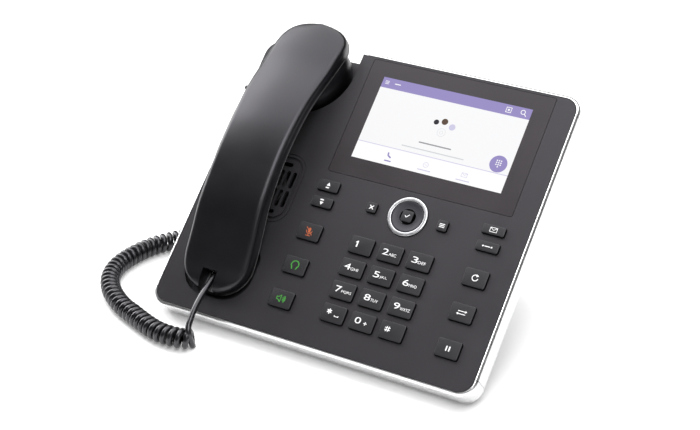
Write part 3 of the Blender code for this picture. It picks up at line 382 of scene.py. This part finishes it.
def plate_box(node):
    """Lowest and highest u, v and h of a CAD node, in the faceplate's frame."""
    back = PLATE.inverted()
    points = [back @ vertex.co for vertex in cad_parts[node].data.vertices]
    low = Vector([min(p[i] for p in points) for i in range(3)])
    high = Vector([max(p[i] for p in points) for i in range(3)])
    return low, high


def recolour(material, *nodes):
    for node in nodes:
        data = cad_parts[node].data
        data.materials.clear()
        data.materials.append(material)


# ---------------------------------------------------------------- camera and cord

def camera():
    eye = (CORNER + CAMERA_FROM_CORNER) * MM
    right = CAMERA_RIGHT.normalized()
    back = right.cross(CAMERA_UP).normalized()
    up = back.cross(right)
    data = bpy.data.cameras.new("camera")
    data.lens = CAMERA_LENS
    data.sensor_width = CAMERA_SENSOR
    data.sensor_fit = "HORIZONTAL"
    obj = bpy.data.objects.new("camera", data)
    rotation = Matrix((right, up, back)).transposed().to_4x4()
    obj.matrix_world = Matrix.Translation(eye) @ rotation
    bpy.context.scene.collection.objects.link(obj)
    bpy.context.scene.camera = obj


def smooth_route(points, spacing):
    """Points at even spacing along a smooth curve through the given points."""
    anchors = [Vector(p) for p in points]
    fine = []
    for i in range(len(anchors) - 1):
        p0, p1, p2 = anchors[max(i - 1, 0)], anchors[i], anchors[i + 1]
        p3 = anchors[min(i + 2, len(anchors) - 1)]
        for step in range(12):
            t = step / 12.0
            fine.append(0.5 * (2.0 * p1 + (p2 - p0) * t + (2.0 * p0 - 5.0 * p1 + 4.0 * p2 - p3) * t ** 2
                               + (3.0 * p1 - p0 - 3.0 * p2 + p3) * t ** 3))
    fine.append(anchors[-1])
    length = sum((b - a).length for a, b in zip(fine, fine[1:]))
    count = max(int(round(length / spacing)), 2)
    even, target, walked = [fine[0]], length / count, 0.0
    for a, b in zip(fine, fine[1:]):
        step = (b - a).length
        while walked + step >= target * len(even) - 1e-9 and len(even) < count:
            even.append(a.lerp(b, (target * len(even) - walked) / step))
        walked += step
    even.append(fine[-1])
    return even


def helix():
    """The coil's turns, wound round its route; they start on the front side, going down."""
    core = smooth_route([(x, y, COIL_Z) for x, y in COIL_ROUTE], PITCH / TURN_POINTS)
    radius = (COIL_D - WIRE_D) / 2.0
    points = []
    for i, centre in enumerate(core):
        tangent = (core[min(i + 1, len(core) - 1)] - core[max(i - 1, 0)]).normalized()
        side = tangent.cross(Vector((0.0, 0.0, 1.0))).normalized()
        angle = 2.0 * math.pi * i / TURN_POINTS
        points.append(centre - side * radius * math.cos(angle) - Vector((0.0, 0.0, radius * math.sin(angle))))
    return points


def tube_rings(path, radius, sides):
    """Rings square to the path, turned along with it so that they don't twist."""
    rings, normal = [], Vector((0.0, 0.0, 1.0))
    for i, centre in enumerate(path):
        tangent = (path[min(i + 1, len(path) - 1)] - path[max(i - 1, 0)]).normalized()
        normal = (normal - tangent * normal.dot(tangent)).normalized()
        across = tangent.cross(normal)
        ring = []
        for side in range(sides):
            angle = 2.0 * math.pi * side / sides
            ring.append(centre + (normal * math.cos(angle) + across * math.sin(angle)) * radius)
        rings.append(ring)
    return rings


def cord():
    turns = helix()
    first = 4                # points of the first turn that the lead's curve runs into
    lead = smooth_route([*LEAD_ROUTE, LEAD_END, *turns[first:first + 3]], LEAD_SPACING)[:-2]
    tail = smooth_route([*turns[-3:], *[Vector(p) for p in BASE_LEAD_ROUTE[1:]]], LEAD_SPACING)[3:]
    path = [*lead, *turns[first + 2:], *tail]
    bm = loft(bmesh.new(), tube_rings(path, WIRE_D / 2.0, TUBE_SIDES))
    obj = place("curly_handset_cord", bm, JACKET, DESK)
    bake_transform(obj)
    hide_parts("curly_cord", "handset_lead", "base_lead")


# ---------------------------------------------------------------- handset

def curve_through(table, v):
    """Smooth value at v through a table of (v, value), flat beyond its ends."""
    if v <= table[0][0]:
        return table[0][1]
    if v >= table[-1][0]:
        return table[-1][1]
    count = len(table)
    for i in range(count - 1):
        v0, a = table[i]
        v1, b = table[i + 1]
        if v <= v1:
            before = table[max(i - 1, 0)]
            after = table[min(i + 2, count - 1)]
            slope_a = (b - before[1]) / (v1 - before[0])
            slope_b = (after[1] - a) / (after[0] - v0)
            span = v1 - v0
            t = (v - v0) / span
            return ((2 * t ** 3 - 3 * t ** 2 + 1) * a + (t ** 3 - 2 * t ** 2 + t) * span * slope_a
                    + (-2 * t ** 3 + 3 * t ** 2) * b + (t ** 3 - t ** 2) * span * slope_b)


def centre_u(v):
    return HAND_U + EAR_LEAN * (max(v - LEAN_START, 0.0) / (HAND_HIGH - LEAN_START)) ** 2


def half_width(v):
    width = curve_through(HALF_WIDTH, v)
    ends = ((v - HAND_LOW, MOUTH_END, MOUTH_POWER), (HAND_HIGH - v, EAR_END, EAR_POWER))
    for from_end, length, power in ends:
        if from_end < length:
            width *= max(1.0 - (1.0 - from_end / length) ** power, 0.004) ** (1.0 / power)
    return width


def stations():
    """Places along the handset, close together where its ends round in."""
    ends = 14
    low = [HAND_LOW + MOUTH_END * (1.0 - math.cos(0.5 * math.pi * i / ends)) for i in range(ends)]
    high = [HAND_HIGH - EAR_END * (1.0 - math.cos(0.5 * math.pi * i / ends)) for i in range(ends)]
    start, stop, middle = HAND_LOW + MOUTH_END, HAND_HIGH - EAR_END, 46
    between = [start + (stop - start) * i / middle for i in range(middle + 1)]
    return low + between + list(reversed(high))


def mirrored(half, v):
    centre = centre_u(v)
    ring = [(centre + a, v, h) for a, h in half]
    return ring + [(centre - a, v, h) for a, h in reversed(half) if a > 1e-6]


def top_ring(v):
    width = half_width(v)
    crown = curve_through(CROWN, v)
    base = curve_through(PARTING, v)
    shoulder_w, shoulder_h = min(SHOULDER_W, width * 0.6), min(SHOULDER_H, (crown - base) * 0.6)
    rise = min(CROWN_RISE, width * 0.06)
    edge = crown - rise
    half = [(width - 0.15, base), (width, base + 0.25)]
    half += arc(width - shoulder_w, edge - shoulder_h, shoulder_w, shoulder_h, 0.0, 84.0, 8)
    inner, top = half[-1]
    for i in range(1, 7):
        share = 1.0 - i / 6.0
        half.append((inner * share, top + (crown - top) * (1.0 - share ** 2)))
    return mirrored(half, v)


def bottom_ring(v):
    width = half_width(v)
    parting = curve_through(PARTING, v) - GAP
    under = curve_through(GRIP_UNDER, v)
    side_top = parting - 1.4
    round_off = min(0.5 * (side_top - under), 4.0)
    low_width = 0.88 * width
    across = min(round_off, 0.3 * width)
    half = [(width, parting), (width, parting - 0.4), (width - 0.4, side_top)]
    half += arc(low_width - across, under + round_off, across, round_off, 0.0, -90.0, 6)
    half.append((0.0, under))
    return mirrored(half, v)


def sound_holes(bm, cu, cv, rings, low, high):
    """Round holes in rings about a middle one, cut through a stretch of h."""
    for radius, count in rings:
        for i in range(count):
            angle = 2.0 * math.pi * i / count
            hole = circle(cu + radius * math.cos(angle), cv + radius * math.sin(angle), 0.8, 12)
            prism(bm, hole, low, high)
    return bm


def handset():
    places = stations()
    top = place("handset_upper_shell", loft(bmesh.new(), [top_ring(v) for v in places]), HANDSET)
    notch = [(HAND_U - NOTCH_W / 2.0, HAND_LOW - 5.0), (HAND_U + NOTCH_W / 2.0, HAND_LOW - 5.0),
             (HAND_U + NOTCH_W / 2.0, NOTCH_TOP_V), (HAND_U - NOTCH_W / 2.0, NOTCH_TOP_V)]
    boolean(top, prism(bmesh.new(), notch, -5.0, 30.0))
    pocket = [(HAND_U + side * (PLUG_W / 2.0 + GAP), v) for side, v in
              ((-1, NOTCH_TOP_V - 1.0), (1, NOTCH_TOP_V - 1.0),
               (1, NOTCH_TOP_V + 14.0), (-1, NOTCH_TOP_V + 14.0))]
    boolean(top, prism(bmesh.new(), pocket, PLUG_H - PLUG_T / 2.0 - GAP, PLUG_H + PLUG_T / 2.0 + GAP))
    ride(top, "handset", "handset", "handset_top_shell")

    # The lower shell and its cup take the darker copy of the handset plastic, painted shade under the handset
    bottom = place("handset_lower_shell", loft(bmesh.new(), [bottom_ring(v) for v in places]), LOWER_SHELL_PAINTED_SHADE)
    cup = arc(CUP_R - CUP_LIP, CUP_BOTTOM + CUP_LIP, CUP_LIP, CUP_LIP, -90.0, 0.0, 5)
    cup += arc(CUP_R - CUP_TAPER, CUP_TOP - CUP_FLARE, CUP_TAPER, CUP_FLARE + CUP_RISE, 0.0, 72.0, 8)
    boolean(bottom, stack(bmesh.new(), [(circle(CUP_U, CUP_V, r, 72), h) for r, h in cup]), "UNION")
    dish = [(17.0, CUP_BOTTOM - 1.0), (17.0, CUP_BOTTOM + 0.2), (14.5, CUP_BOTTOM + 1.2)]
    boolean(bottom, stack(bmesh.new(), [(circle(CUP_U, CUP_V, r, 48), h) for r, h in dish]))
    holes = sound_holes(bmesh.new(), CUP_U, CUP_V, ((0.0, 1), (4.0, 6), (8.0, 12)), CUP_BOTTOM - 1.0,
                        CUP_BOTTOM + 3.0)
    sound_holes(holes, HAND_U, MIC_V, ((2.6, 5),), MOUTH_BOTTOM - 1.0, MOUTH_BOTTOM + 1.6)
    boolean(bottom, holes)
    ride(bottom, "handset", "handset", "handset_bottom_shell")

    # The parting-line strip carries a painted highlight: the lip's lit edge, drawn in light grey
    rings = []
    for v in stations():
        height = curve_through(PARTING, v) - SEAM_H
        half = [(half_width(v) + SEAM_OUT, height), (half_width(v) + SEAM_OUT, height + SEAM_H)]
        rings.append(mirrored(half, v))
    ride(place("handset_seam_painted_highlight", loft(bmesh.new(), rings[3:-3]), SEAM_HIGHLIGHT), "handset", "handset")


# ---------------------------------------------------------------- keys, pad and legends

def key_cap(node):
    low, high = plate_box(node)
    width, depth = high.x - low.x - 2.0 * KEY_FLANGE, high.y - low.y - 2.0 * KEY_FLANGE
    middle = (low + high) / 2.0
    layers = [(rounded_rect(middle.x, middle.y, width, depth, KEY_CORNER), low.z)]
    for inset, h in arc(-KEY_ROUND, high.z - KEY_ROUND, KEY_ROUND, KEY_ROUND, 0.0, 90.0, 5):
        outline = rounded_rect(middle.x, middle.y, width + 2.0 * inset, depth + 2.0 * inset,
                               KEY_CORNER + inset * 0.8)
        layers.append((outline, h))
    # The cap's flanks take the darker flank material: painted shade on its sides
    cap = place(node + "_cap", stack(bmesh.new(), layers), KEY, flank=KEY_FLANK_PAINTED_SHADE)
    ride(cap, node, "keys", node)
    return middle.x, middle.y, high.z


def glyphs(bm, string, cu, cv, width, height, h):
    """Printed characters, stretched to a width and a height about their middle."""
    data = bpy.data.curves.new("glyphs", "FONT")
    data.body = string
    data.extrude = 0.5
    obj = bpy.data.objects.new("glyphs", data)
    bpy.context.scene.collection.objects.link(obj)
    bpy.context.view_layer.update()
    mesh = bpy.data.meshes.new_from_object(obj.evaluated_get(bpy.context.evaluated_depsgraph_get()))
    bpy.data.objects.remove(obj)
    xs = [v.co.x for v in mesh.vertices]
    ys = [v.co.y for v in mesh.vertices]
    scale_u, scale_v = width / (max(xs) - min(xs)), height / (max(ys) - min(ys))
    middle_x, middle_y = (max(xs) + min(xs)) / 2.0, (max(ys) + min(ys)) / 2.0
    fresh = bmesh.new()
    fresh.from_mesh(mesh)
    for vertex in fresh.verts:
        x, y, z = vertex.co
        vertex.co = (cu + (x - middle_x) * scale_u, cv + (y - middle_y) * scale_v, h + (z + 0.5) * INK)
    bmesh.ops.remove_doubles(fresh, verts=fresh.verts, dist=0.002)
    fresh.to_mesh(mesh)
    fresh.free()
    bm.from_mesh(mesh)
    bpy.data.meshes.remove(mesh)


def bar(bm, cu, cv, width, depth, h, corner=None, thick=INK):
    corner = min(width, depth) / 2.05 if corner is None else corner
    prism(bm, rounded_rect(cu, cv, width, depth, corner, 4), h, h + thick)


def stroke(bm, points, width, h, thick=INK):
    """A line of even width with round ends, drawn as one capsule for each run."""
    for number, ((u0, v0), (u1, v1)) in enumerate(zip(points, points[1:])):
        heading = math.atan2(v1 - v0, u1 - u0)
        outline = []
        for cu, cv, start in ((u1, v1, heading - math.pi / 2.0), (u0, v0, heading + math.pi / 2.0)):
            for step in range(7):
                angle = start + math.pi * step / 6.0
                outline.append((cu + 0.5 * width * math.cos(angle), cv + 0.5 * width * math.sin(angle)))
        prism(bm, outline, h, h + thick + 0.003 * (number % 2))


def arc_points(cu, cv, radius, first, last, steps=10):
    return arc(cu, cv, radius, radius, first, last, steps)


def polygon(bm, points, h, thick=INK):
    prism(bm, points, h, h + thick)


def dial_legend(bm, label, letters, u, v, h):
    base = v - 1.65
    if label == "star":
        for turn in range(3):
            angle = math.radians(90.0 + 60.0 * turn)
            reach_u, reach_v = 1.5 * math.cos(angle), 1.5 * math.sin(angle)
            ends = [(u - 3.0 - reach_u, v + 0.9 - reach_v), (u - 3.0 + reach_u, v + 0.9 + reach_v)]
            stroke(bm, ends, 0.75, h + 0.004 * turn)
        stroke(bm, [(u + 1.4, v - 1.0), (u + 1.4, v - 1.6), (u + 4.2, v - 1.6), (u + 4.2, v - 1.0)], 0.45, h)
    elif label == "hash":
        for side in (-0.75, 0.75):
            stroke(bm, [(u - 3.5 + side, v - 1.0), (u - 3.0 + side, v + 2.2)], 0.55, h)
            stroke(bm, [(u - 5.0, v + 0.6 + side), (u - 1.5, v + 0.6 + side)], 0.5, h + 0.006)
    elif label == "1":
        stroke(bm, [(u - 3.9, base + 3.2), (u - 2.9, base + 3.9)], 0.75, h)
        stroke(bm, [(u - 2.9, base + 3.9), (u - 2.9, base + 0.3)], 0.95, h + 0.004)
    else:
        glyphs(bm, label, u - 3.2, base + 2.1, 4.3, 4.2, h)
    if label == "0":
        stroke(bm, [(u + 1.3, v - 0.5), (u + 3.3, v - 0.5)], 0.5, h)
        stroke(bm, [(u + 2.3, v - 1.5), (u + 2.3, v + 0.5)], 0.5, h + 0.004)
    if letters:
        width = 1.75 * len(letters) + 0.2
        glyphs(bm, letters, u - 0.6 + width / 2.0, base + 1.0, width, 2.0, h)


def volume_legend(bm, u, v, h, way):
    tip = [(u - 1.4, v - way * 0.2), (u + 1.4, v - way * 0.2), (u, v + way * 2.2)]
    polygon(bm, tip if way > 0 else list(reversed(tip)), h)
    bar(bm, u - 0.2, v - way * 1.6, 2.6, 0.9, h, 0.3)


def mute_legend(bm, u, v, h):
    bar(bm, u, v + 0.9, 1.8, 3.6, h, 0.85)
    stroke(bm, arc_points(u, v + 0.5, 2.1, 180.0, 360.0), 0.45, h)
    stroke(bm, [(u, v - 1.6), (u, v - 2.9)], 0.5, h)
    stroke(bm, [(u - 1.5, v - 3.0), (u + 1.5, v - 3.0)], 0.5, h)
    stroke(bm, [(u - 2.6, v + 2.8), (u + 2.6, v - 2.2)], 0.45, h + 0.01)


def headset_legend(bm, u, v, h):
    stroke(bm, arc_points(u, v + 0.4, 2.7, -25.0, 205.0, 16), 0.75, h)
    for side in (-1, 1):
        stroke(bm, [(u + side * 2.1, v - 0.9), (u + side * 1.5, v - 2.6)], 0.8, h + 0.01)


def speaker_legend(bm, u, v, h):
    horn = [(u - 3.1, v - 0.9), (u - 1.9, v - 0.9), (u - 0.2, v - 2.4),
            (u - 0.2, v + 2.4), (u - 1.9, v + 0.9), (u - 3.1, v + 0.9)]
    stroke(bm, [*horn, horn[0]], 0.5, h)
    for radius in (1.2, 2.0, 2.8):
        stroke(bm, arc_points(u + 0.4, v, radius, -50.0, 50.0, 6), 0.5, h + 0.01)


def mail_legend(bm, u, v, h):
    corners = [(u - 2.4, v - 1.5), (u + 2.4, v - 1.5), (u + 2.4, v + 1.5),
               (u - 2.4, v + 1.5), (u - 2.4, v - 1.5)]
    stroke(bm, corners, 0.35, h)
    stroke(bm, [(u - 2.3, v + 1.4), (u, v - 0.3), (u + 2.3, v + 1.4)], 0.35, h + 0.01)


def contacts_legend(bm, u, v, h):
    for side in (-1, 1):
        bar(bm, u + side * 3.0, v, 1.1, 1.1, h, 0.5)
    stroke(bm, [(u - 1.7, v), (u + 1.7, v)], 0.6, h)


def redial_legend(bm, u, v, h):
    stroke(bm, arc_points(u, v, 2.0, 60.0, 350.0, 14), 0.55, h)
    polygon(bm, [(u + 0.5, v + 2.6), (u + 0.5, v + 0.6), (u + 2.3, v + 1.6)], h + 0.01)


def transfer_legend(bm, u, v, h):
    for side in (-1, 1):
        row = v + side * 0.95
        stroke(bm, [(u - 2.6, row), (u + 2.6, row)], 0.5, h)
        tip = [(u + side * 2.2, row - 0.9), (u + side * 3.5, row), (u + side * 2.2, row + 0.9)]
        polygon(bm, tip if side > 0 else list(reversed(tip)), h + 0.01)


def hold_legend(bm, u, v, h):
    for side in (-1, 1):
        bar(bm, u + side * 1.0, v, 0.9, 3.4, h, 0.3)


def close_legend(bm, u, v, h):
    for side in (-1, 1):
        stroke(bm, [(u - 1.2, v - side * 1.2), (u + 1.2, v + side * 1.2)], 0.65, h + 0.005 * side + 0.005)


def menu_legend(bm, u, v, h):
    for row in (-1, 0, 1):
        stroke(bm, [(u - 1.7, v + row * 1.1), (u + 1.7, v + row * 1.1)], 0.5, h)


def up_legend(bm, u, v, h):
    volume_legend(bm, u, v, h, 1)


def down_legend(bm, u, v, h):
    volume_legend(bm, u, v, h, -1)


DIAL = {"1": "", "2": "ABC", "3": "DEF", "4": "GHI", "5": "JKL", "6": "MNO", "7": "PQRS", "8": "TUV",
        "9": "WXYZ", "star": "", "0": "", "hash": ""}
FUNCTIONS = {"vol_up": (up_legend, WHITE_INK_PAINTED_GLOW), "vol_down": (down_legend, WHITE_INK_PAINTED_GLOW),
             "mute": (mute_legend, ORANGE_INK_PAINTED_GLOW), "headset": (headset_legend, GREEN_INK_PAINTED_GLOW),
             "speaker": (speaker_legend, GREEN_INK_PAINTED_GLOW), "mail": (mail_legend, WHITE_INK_PAINTED_GLOW),
             "contacts": (contacts_legend, WHITE_INK_PAINTED_GLOW), "redial": (redial_legend, WHITE_INK_PAINTED_GLOW),
             "transfer": (transfer_legend, WHITE_INK_PAINTED_GLOW), "hold": (hold_legend, WHITE_INK_PAINTED_GLOW),
             "close": (close_legend, WHITE_INK_PAINTED_GLOW), "menu": (menu_legend, WHITE_INK_PAINTED_GLOW)}


def keys():
    for label, letters in DIAL.items():
        u, v, h = key_cap("key_" + label)
        bm = bmesh.new()
        dial_legend(bm, label, letters, u, v, h)
        ride(place("legend_" + label, bm, WHITE_INK_PAINTED_GLOW), "key_" + label, "keys")
    for label, (draw, colour) in FUNCTIONS.items():
        u, v, h = key_cap("key_" + label)
        bm = bmesh.new()
        draw(bm, u, v, h)
        ride(place("legend_" + label, bm, colour), "key_" + label, "keys")


def nav_pad():
    low, high = plate_box("nav_ring")
    middle = (low + high) / 2.0
    outer = (high.x - low.x) / 2.0
    profile = [(RING_INNER, low.z), (outer, low.z), (outer, high.z - RING_ROUND)]
    profile += arc(outer - RING_ROUND, high.z - RING_ROUND, RING_ROUND, RING_ROUND, 0.0, 90.0, 5)[1:]
    profile += arc(RING_INNER + RING_INNER_ROUND, high.z - RING_INNER_ROUND, RING_INNER_ROUND,
                   RING_INNER_ROUND, 90.0, 180.0, 4)
    ring = place("pad_ring", turned(bmesh.new(), profile, middle.x, middle.y), RING)
    ride(ring, "nav_pad", "nav_ring", "nav_ring")

    low, high = plate_box("nav_dish")
    radius = (high.x - low.x) / 2.0
    rim, floor = high.z, high.z - DISH_DEPTH
    profile = [(DISH_HOLE, low.z), (radius, low.z), (radius, rim - DISH_ROUND)]
    profile += arc(radius - DISH_ROUND, rim - DISH_ROUND, DISH_ROUND, DISH_ROUND, 0.0, 90.0, 3)[1:]
    edge = radius - 0.4
    for i in range(1, 9):
        share = i / 8.0
        profile.append((edge - (edge - DISH_HOLE) * share, floor + (rim - floor) * (1.0 - share) ** 2))
    dish = place("pad_dish", turned(bmesh.new(), profile, middle.x, middle.y), PAD)
    ride(dish, "nav_pad", "nav_dish", "nav_dish")

    low, high = plate_box("ok_key")
    size = high.x - low.x
    layers = [(rounded_rect(middle.x, middle.y, size, size, OK_CORNER), low.z)]
    for inset, h in arc(-OK_ROUND, high.z - OK_ROUND, OK_ROUND, OK_ROUND, 0.0, 90.0, 5):
        side = size + 2.0 * inset
        layers.append((rounded_rect(middle.x, middle.y, side, side, OK_CORNER + inset * 0.6), h))
    # The OK cap's flanks take the darker flank material: painted shade on its sides
    cap = place("ok_cap", stack(bmesh.new(), layers), KEY, flank=KEY_FLANK_PAINTED_SHADE)
    ride(cap, "ok_key", "ok_key", "ok_key")
    mark = bmesh.new()
    stroke(mark, [(middle.x - 1.4, middle.y + 0.1), (middle.x - 0.4, middle.y - 0.9)], 0.5, high.z)
    stroke(mark, [(middle.x - 0.4, middle.y - 0.9), (middle.x + 1.5, middle.y + 1.1)], 0.5, high.z + 0.005)
    ride(place("legend_ok", mark, WHITE_INK_PAINTED_GLOW), "ok_key", "ok_key")


# ---------------------------------------------------------------- metal band

def band():
    width, height = PLATE_W, PLATE_H

    def ring(grow):
        return rounded_rect(width / 2.0, height / 2.0, width + 2.0 * grow, height + 2.0 * grow,
                            PLATE_CORNER + grow, 20)

    outer, inner = EDGE, EDGE - BAND_THICK
    section = [(outer, -BAND_DEPTH), (outer, -CHAMFER - 0.3), (outer - 0.15, -CHAMFER + 0.1),
               (outer - CHAMFER + 0.1, -0.15), (outer - CHAMFER - 0.3, 0.0), (inner, 0.0),
               (inner, -BAND_DEPTH)]
    for node in ("trim_front", "trim_left", "trim_right", "trim_rear"):
        low, high = plate_box(node)
        bm = loft(bmesh.new(), [[(u, v, h) for u, v in ring(grow)] for grow, h in section], closed=True)
        strip = place(node + "_band", bm, BAND, sharp=25.0)
        keep = [(low.x - 1.0 if low.x < 0.0 else low.x, low.y - 1.0 if low.y < 0.0 else low.y),
                (high.x + 1.0 if high.x > width else high.x, high.y + 1.0 if high.y > height else high.y)]
        (u0, v0), (u1, v1) = keep
        box = [(u0, v0), (u1, v0), (u1, v1), (u0, v1)]
        boolean(strip, prism(bmesh.new(), box, -BAND_DEPTH - 5.0, 5.0), "INTERSECT")
        ride(strip, "base", "trim", node)


# ---------------------------------------------------------------- display

def display():
    low, high = plate_box("lcd_panel")
    centre = (low + high) / 2.0
    left, top = centre.x - SCREEN_W / 2.0, centre.y + SCREEN_H / 2.0
    face = plate_box("screen_lens")[1].z + 0.02

    def at(x, y):
        """Place on the screen from shares of its width and height, from its upper left corner."""
        return left + x * SCREEN_W, top - y * SCREEN_H

    def show(name, material, draw):
        bm = bmesh.new()
        draw(bm)
        ride(place(name, bm, material), "base", "lcd_panel")

    def paper(bm):
        bar(bm, *at(0.5, 0.46), SCREEN_W, 0.67 * SCREEN_H, face, 0.01)

    def white(bm):
        bar(bm, *at(0.5, 0.8975), SCREEN_W, 0.205 * SCREEN_H, face, 0.01)

    def purple(bm):
        bar(bm, *at(0.5, BAR_H / 2.0), SCREEN_W, BAR_H * SCREEN_H, face, 0.01, 0.05)
        polygon(bm, circle(*at(0.919, 0.688), 6.1, 40), face + 0.045, 0.03)
        u, v = at(0.237, 0.885)
        stroke(bm, [(u - 1.1, v + 1.5), (u - 0.8, v - 0.2), (u + 1.2, v - 1.5)], 1.1, face + 0.045, 0.02)
        bar(bm, *at(0.239, 0.952), 5.0, 0.9, face + 0.045, 0.3, 0.02)

    def on_purple(bm):
        h = face + 0.08
        u, v = at(0.034, 0.058)
        for row in (-1, 0, 1):
            stroke(bm, [(u - 1.3, v + row * 1.0), (u + 1.3, v + row * 1.0)], 0.4, h, 0.02)
        bar(bm, *at(0.107, 0.058), 4.6, 0.7, h, 0.3, 0.02)
        u, v = at(0.856, 0.062)
        stroke(bm, [(u - 1.8, v - 1.8), (u + 1.8, v - 1.8), (u + 1.8, v + 1.8), (u - 1.8, v + 1.8),
                    (u - 1.8, v - 1.8)], 0.45, h, 0.02)
        polygon(bm, circle(u, v, 0.8, 16), h, 0.02)
        u, v = at(0.951, 0.06)
        stroke(bm, arc_points(u - 0.4, v + 0.4, 1.5, 0.0, 360.0, 18), 0.5, h, 0.02)
        stroke(bm, [(u + 0.8, v - 0.8), (u + 2.1, v - 2.1)], 0.6, h, 0.02)
        u, v = at(0.919, 0.688)
        for row in range(4):
            for column in ((-1, 0, 1) if row < 3 else (0,)):
                polygon(bm, circle(u + column * 1.5, v + 2.4 - row * 1.5, 0.5, 12), h, 0.02)

    def lavender(bm):
        bar(bm, *at(0.5, 0.795), SCREEN_W, 0.55, face + 0.045, 0.01, 0.02)
        u, v = at(0.486, 0.893)
        stroke(bm, arc_points(u, v, 1.8, 0.0, 360.0, 18), 0.3, face + 0.045, 0.02)
        stroke(bm, [(u - 0.8, v), (u + 0.8, v)], 0.3, face + 0.045, 0.02)
        u, v = at(0.743, 0.9)
        corners = [(u - 2.0, v - 1.4), (u + 2.0, v - 1.4), (u + 2.0, v + 1.4), (u - 2.0, v + 1.4),
                   (u - 2.0, v - 1.4)]
        stroke(bm, corners, 0.3, face + 0.045, 0.02)
        stroke(bm, [(u - 1.8, v + 1.2), (u, v - 0.2), (u + 1.8, v + 1.2)], 0.3, face + 0.05, 0.02)
        polygon(bm, circle(*at(0.5547, 0.405), 2.3, 24), face + 0.045, 0.02)
        bar(bm, *at(0.486, 0.957), 9.6, 0.7, face + 0.045, 0.2, 0.02)
        bar(bm, *at(0.743, 0.965), 9.8, 0.7, face + 0.045, 0.2, 0.02)

    def grey(bm):
        bar(bm, *at(0.4935, 0.655), 24.0, 1.0, face + 0.045, 0.4, 0.02)

    def pale(bm):
        bar(bm, *at(0.4945, 0.735), 46.0, 0.8, face + 0.045, 0.3, 0.02)
        u, v = at(0.5, 0.4915)
        stroke(bm, arc_points(u, v, 2.9, 0.0, 360.0, 24), 0.2, face + 0.045, 0.02)
        stroke(bm, arc_points(u, v, 1.2, 0.0, 360.0, 16), 0.2, face + 0.045, 0.02)

    def dark(bm):
        polygon(bm, circle(*at(0.445, 0.385), 1.9, 24), face + 0.045, 0.02)

    def brown(bm):
        polygon(bm, circle(*at(0.497, 0.361), 2.3, 24), face + 0.045, 0.02)

    for name, material, draw in (("paper", SCREEN_PAPER, paper), ("white", SCREEN_WHITE, white),
                                 ("purple", SCREEN_PURPLE, purple), ("signs", SCREEN_WHITE, on_purple),
                                 ("lavender", SCREEN_LAVENDER, lavender), ("grey", SCREEN_GREY, grey),
                                 ("pale", SCREEN_PALE, pale), ("dark", SCREEN_DARK, dark),
                                 ("brown", SCREEN_BROWN, brown)):
        show("screen_" + name, material, draw)


# ---------------------------------------------------------------- the rest of the CAD, and the studio

def finishes():
    recolour(PANEL, "front_cover")
    recolour(CASE, "rear_cover", "stand", "hook_plunger")
    recolour(LENS, "screen_lens")
    recolour(STEEL, "stand_screw_left", "stand_screw_right", "nav_gimbal")
    recolour(RUBBER, *(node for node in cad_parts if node.startswith("foot_")))
    recolour(SOCKET, "base_jack", "lan_jack", "pc_jack", "power_jack")
    recolour(CAPSULE, "speaker_driver", "receiver_capsule", "microphone_capsule")
    recolour(SILICONE, "keypad_membrane")
    recolour(BOARD, "main_board")
    recolour(SCREEN_PALE, "lcd_panel")
    recolour(PLUG, "handset_plug", "base_plug")


def area_light(name, place_m, target, size, power):
    data = bpy.data.lights.new(name, "AREA")
    data.shape = "RECTANGLE"
    data.size, data.size_y = size
    data.energy = power
    obj = bpy.data.objects.new(name, data)
    obj.location = place_m
    obj.rotation_euler = (Vector(target) - Vector(place_m)).to_track_quat("-Z", "Y").to_euler()
    bpy.context.scene.collection.objects.link(obj)


def studio():
    bm = bmesh.new()
    bmesh.ops.create_grid(bm, x_segments=1, y_segments=1, size=4.0)
    floor_material, shader = principled("floor", (0.86, 0.86, 0.86), 0.6, 0.0, 0.2)
    shader.inputs["Emission Color"].default_value = (1.0, 1.0, 1.0, 1.0)
    shader.inputs["Emission Strength"].default_value = 0.2
    tree = floor_material.node_tree
    vary_roughness(tree, shader, noise(tree, 3.0, 2.0), 0.55, 0.65)
    floor = place("floor", bm, floor_material, Matrix.Identity(4))
    world = bpy.data.worlds.new("studio")
    world.use_nodes = True
    world.node_tree.nodes["Background"].inputs["Color"].default_value = (1.0, 1.0, 1.0, 1.0)
    world.node_tree.nodes["Background"].inputs["Strength"].default_value = 0.09
    bpy.context.scene.world = world
    area_light("overhead_box", (0.0, 0.42, 1.3), (0.0, 0.30, 0.0), (2.2, 1.5), 33.0)
    area_light("left_box", (-1.05, 0.15, 0.62), (0.0, 0.0, 0.08), (0.6, 1.1), 13.0)
    area_light("right_strip", (0.72, -0.62, 0.78), (0.0, 0.0, 0.1), (0.22, 1.0), 1.6)
    area_light("front_box", (0.30, -0.58, 1.2), (0.0, 0.0, 0.1), (0.5, 0.6), 7.0)
    bpy.context.scene.view_settings.view_transform = "Standard"


camera()
cord()
handset()
keys()
nav_pad()
band()
display()
finishes()
studio()
